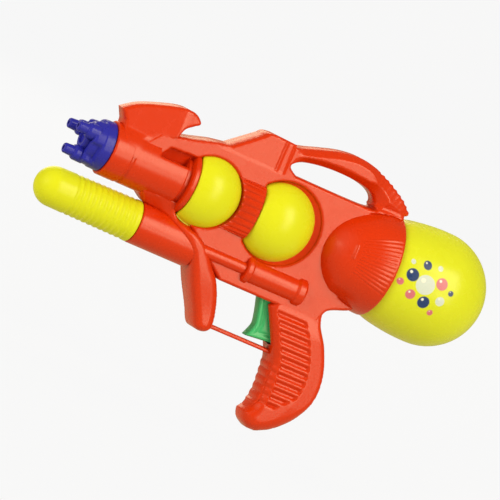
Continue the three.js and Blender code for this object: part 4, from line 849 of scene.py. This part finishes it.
def lamp(name, azimuth, rise, wide, tall, power):
    """A warm softbox that faces the squirter's middle."""
    light = bpy.data.lights.new(name, "AREA")
    light.shape = "RECTANGLE"
    light.size, light.size_y, light.energy, light.color = wide, tall, power, LAMP_COLOUR
    held = bpy.data.objects.new(name, light)
    away = direction(azimuth, rise)
    facing = away.to_track_quat("Z", "Y").to_matrix().to_4x4()
    held.matrix_world = Matrix.Translation(AIM + away * LAMP_DISTANCE) @ facing
    held.visible_camera = False
    bpy.context.scene.collection.objects.link(held)
    return held


bpy.context.scene.view_settings.view_transform = "Standard"
away = direction(AZIMUTH, RISE)
level = Vector((0, 0, 1)).cross(away).normalized()
upright = away.cross(level)
roll = math.radians(ROLL)
right = level * math.cos(roll) + upright * math.sin(roll)
up = upright * math.cos(roll) - level * math.sin(roll)
facing = Matrix((right, up, away)).transposed().to_4x4()
camera = bpy.data.objects.new("camera", bpy.data.cameras.new("camera"))
camera.data.lens = CAMERA_LENS
camera.matrix_world = Matrix.Translation(AIM + away * CAMERA_DISTANCE) @ facing
bpy.context.scene.collection.objects.link(camera)
bpy.context.scene.camera = camera

sweep = np.linspace(0, math.pi / 2, 24)
wall = FLOOR_RADIUS + FLOOR_SWEEP
floor_r = np.r_[np.linspace(0, FLOOR_RADIUS, 16), FLOOR_RADIUS + FLOOR_SWEEP * np.sin(sweep), wall]
floor_z = np.r_[np.zeros(16), FLOOR_SWEEP - FLOOR_SWEEP * np.cos(sweep), WALL_HEIGHT]
ground, cells = sheet(np.outer(floor_r, np.cos(FULL_TURN)), np.outer(floor_r, np.sin(FULL_TURN)),
                      floor_z[:, None])
floor_mesh = bpy.data.meshes.new("floor")
floor_mesh.from_pydata(ground, [], cells)
floor_mesh.shade_smooth()
floor_paint = bpy.data.materials.new("pale_floor")
floor_paint.use_nodes = True
Paint(floor_paint.node_tree).feed(floor_paint.node_tree.nodes["Principled BSDF"], {
    "Base Color": (0.012, 0.012, 0.012, 1),
    "Roughness": 0.9,
    "Specular IOR Level": 0.0,
    "Emission Color": (1, 1, 1, 1),
    "Emission Strength": FLOOR_LIGHT,
})
floor_mesh.materials.append(floor_paint)
floor = bpy.data.objects.new("floor", floor_mesh)
bpy.context.scene.collection.objects.link(floor)
floor.visible_diffuse = floor.visible_glossy = floor.visible_shadow = False

lamp("side_softbox", 21.5, -1, 1.6, 1.6, 47)
lamp("upper_softbox", 26, 28, 2.2, 3.4, 185)
lamp("front_softbox", -76, 18, 5.0, 5.0, 220).visible_glossy = False
lamp("back_softbox", 178, 24, 2.6, 2.6, 42)
lamp("far_softbox", 165, 32, 3.2, 2.2, 200).visible_glossy = False
lamp("muzzle_lamp", -74, 12, 0.6, 0.6, 12)

world = bpy.data.worlds.new("studio")
world.use_nodes = True
sky = Paint(world.node_tree)
view = sky.add("ShaderNodeTexCoord", output="Generated")
height = sky.add("ShaderNodeSeparateXYZ", (), {0: view}, "Z")
below = sky.add("ShaderNodeMapRange", {"interpolation_type": "SMOOTHSTEP"},
                {"Value": height, "From Min": 0.2, "From Max": -0.4})
sky.feed(world.node_tree.nodes["Background"], {
    "Color": mix(below, (0.30, 0.26, 0.17, 1), (0.64, 0.56, 0.34, 1)),
    "Strength": 1.0,
})
bpy.context.scene.world = world
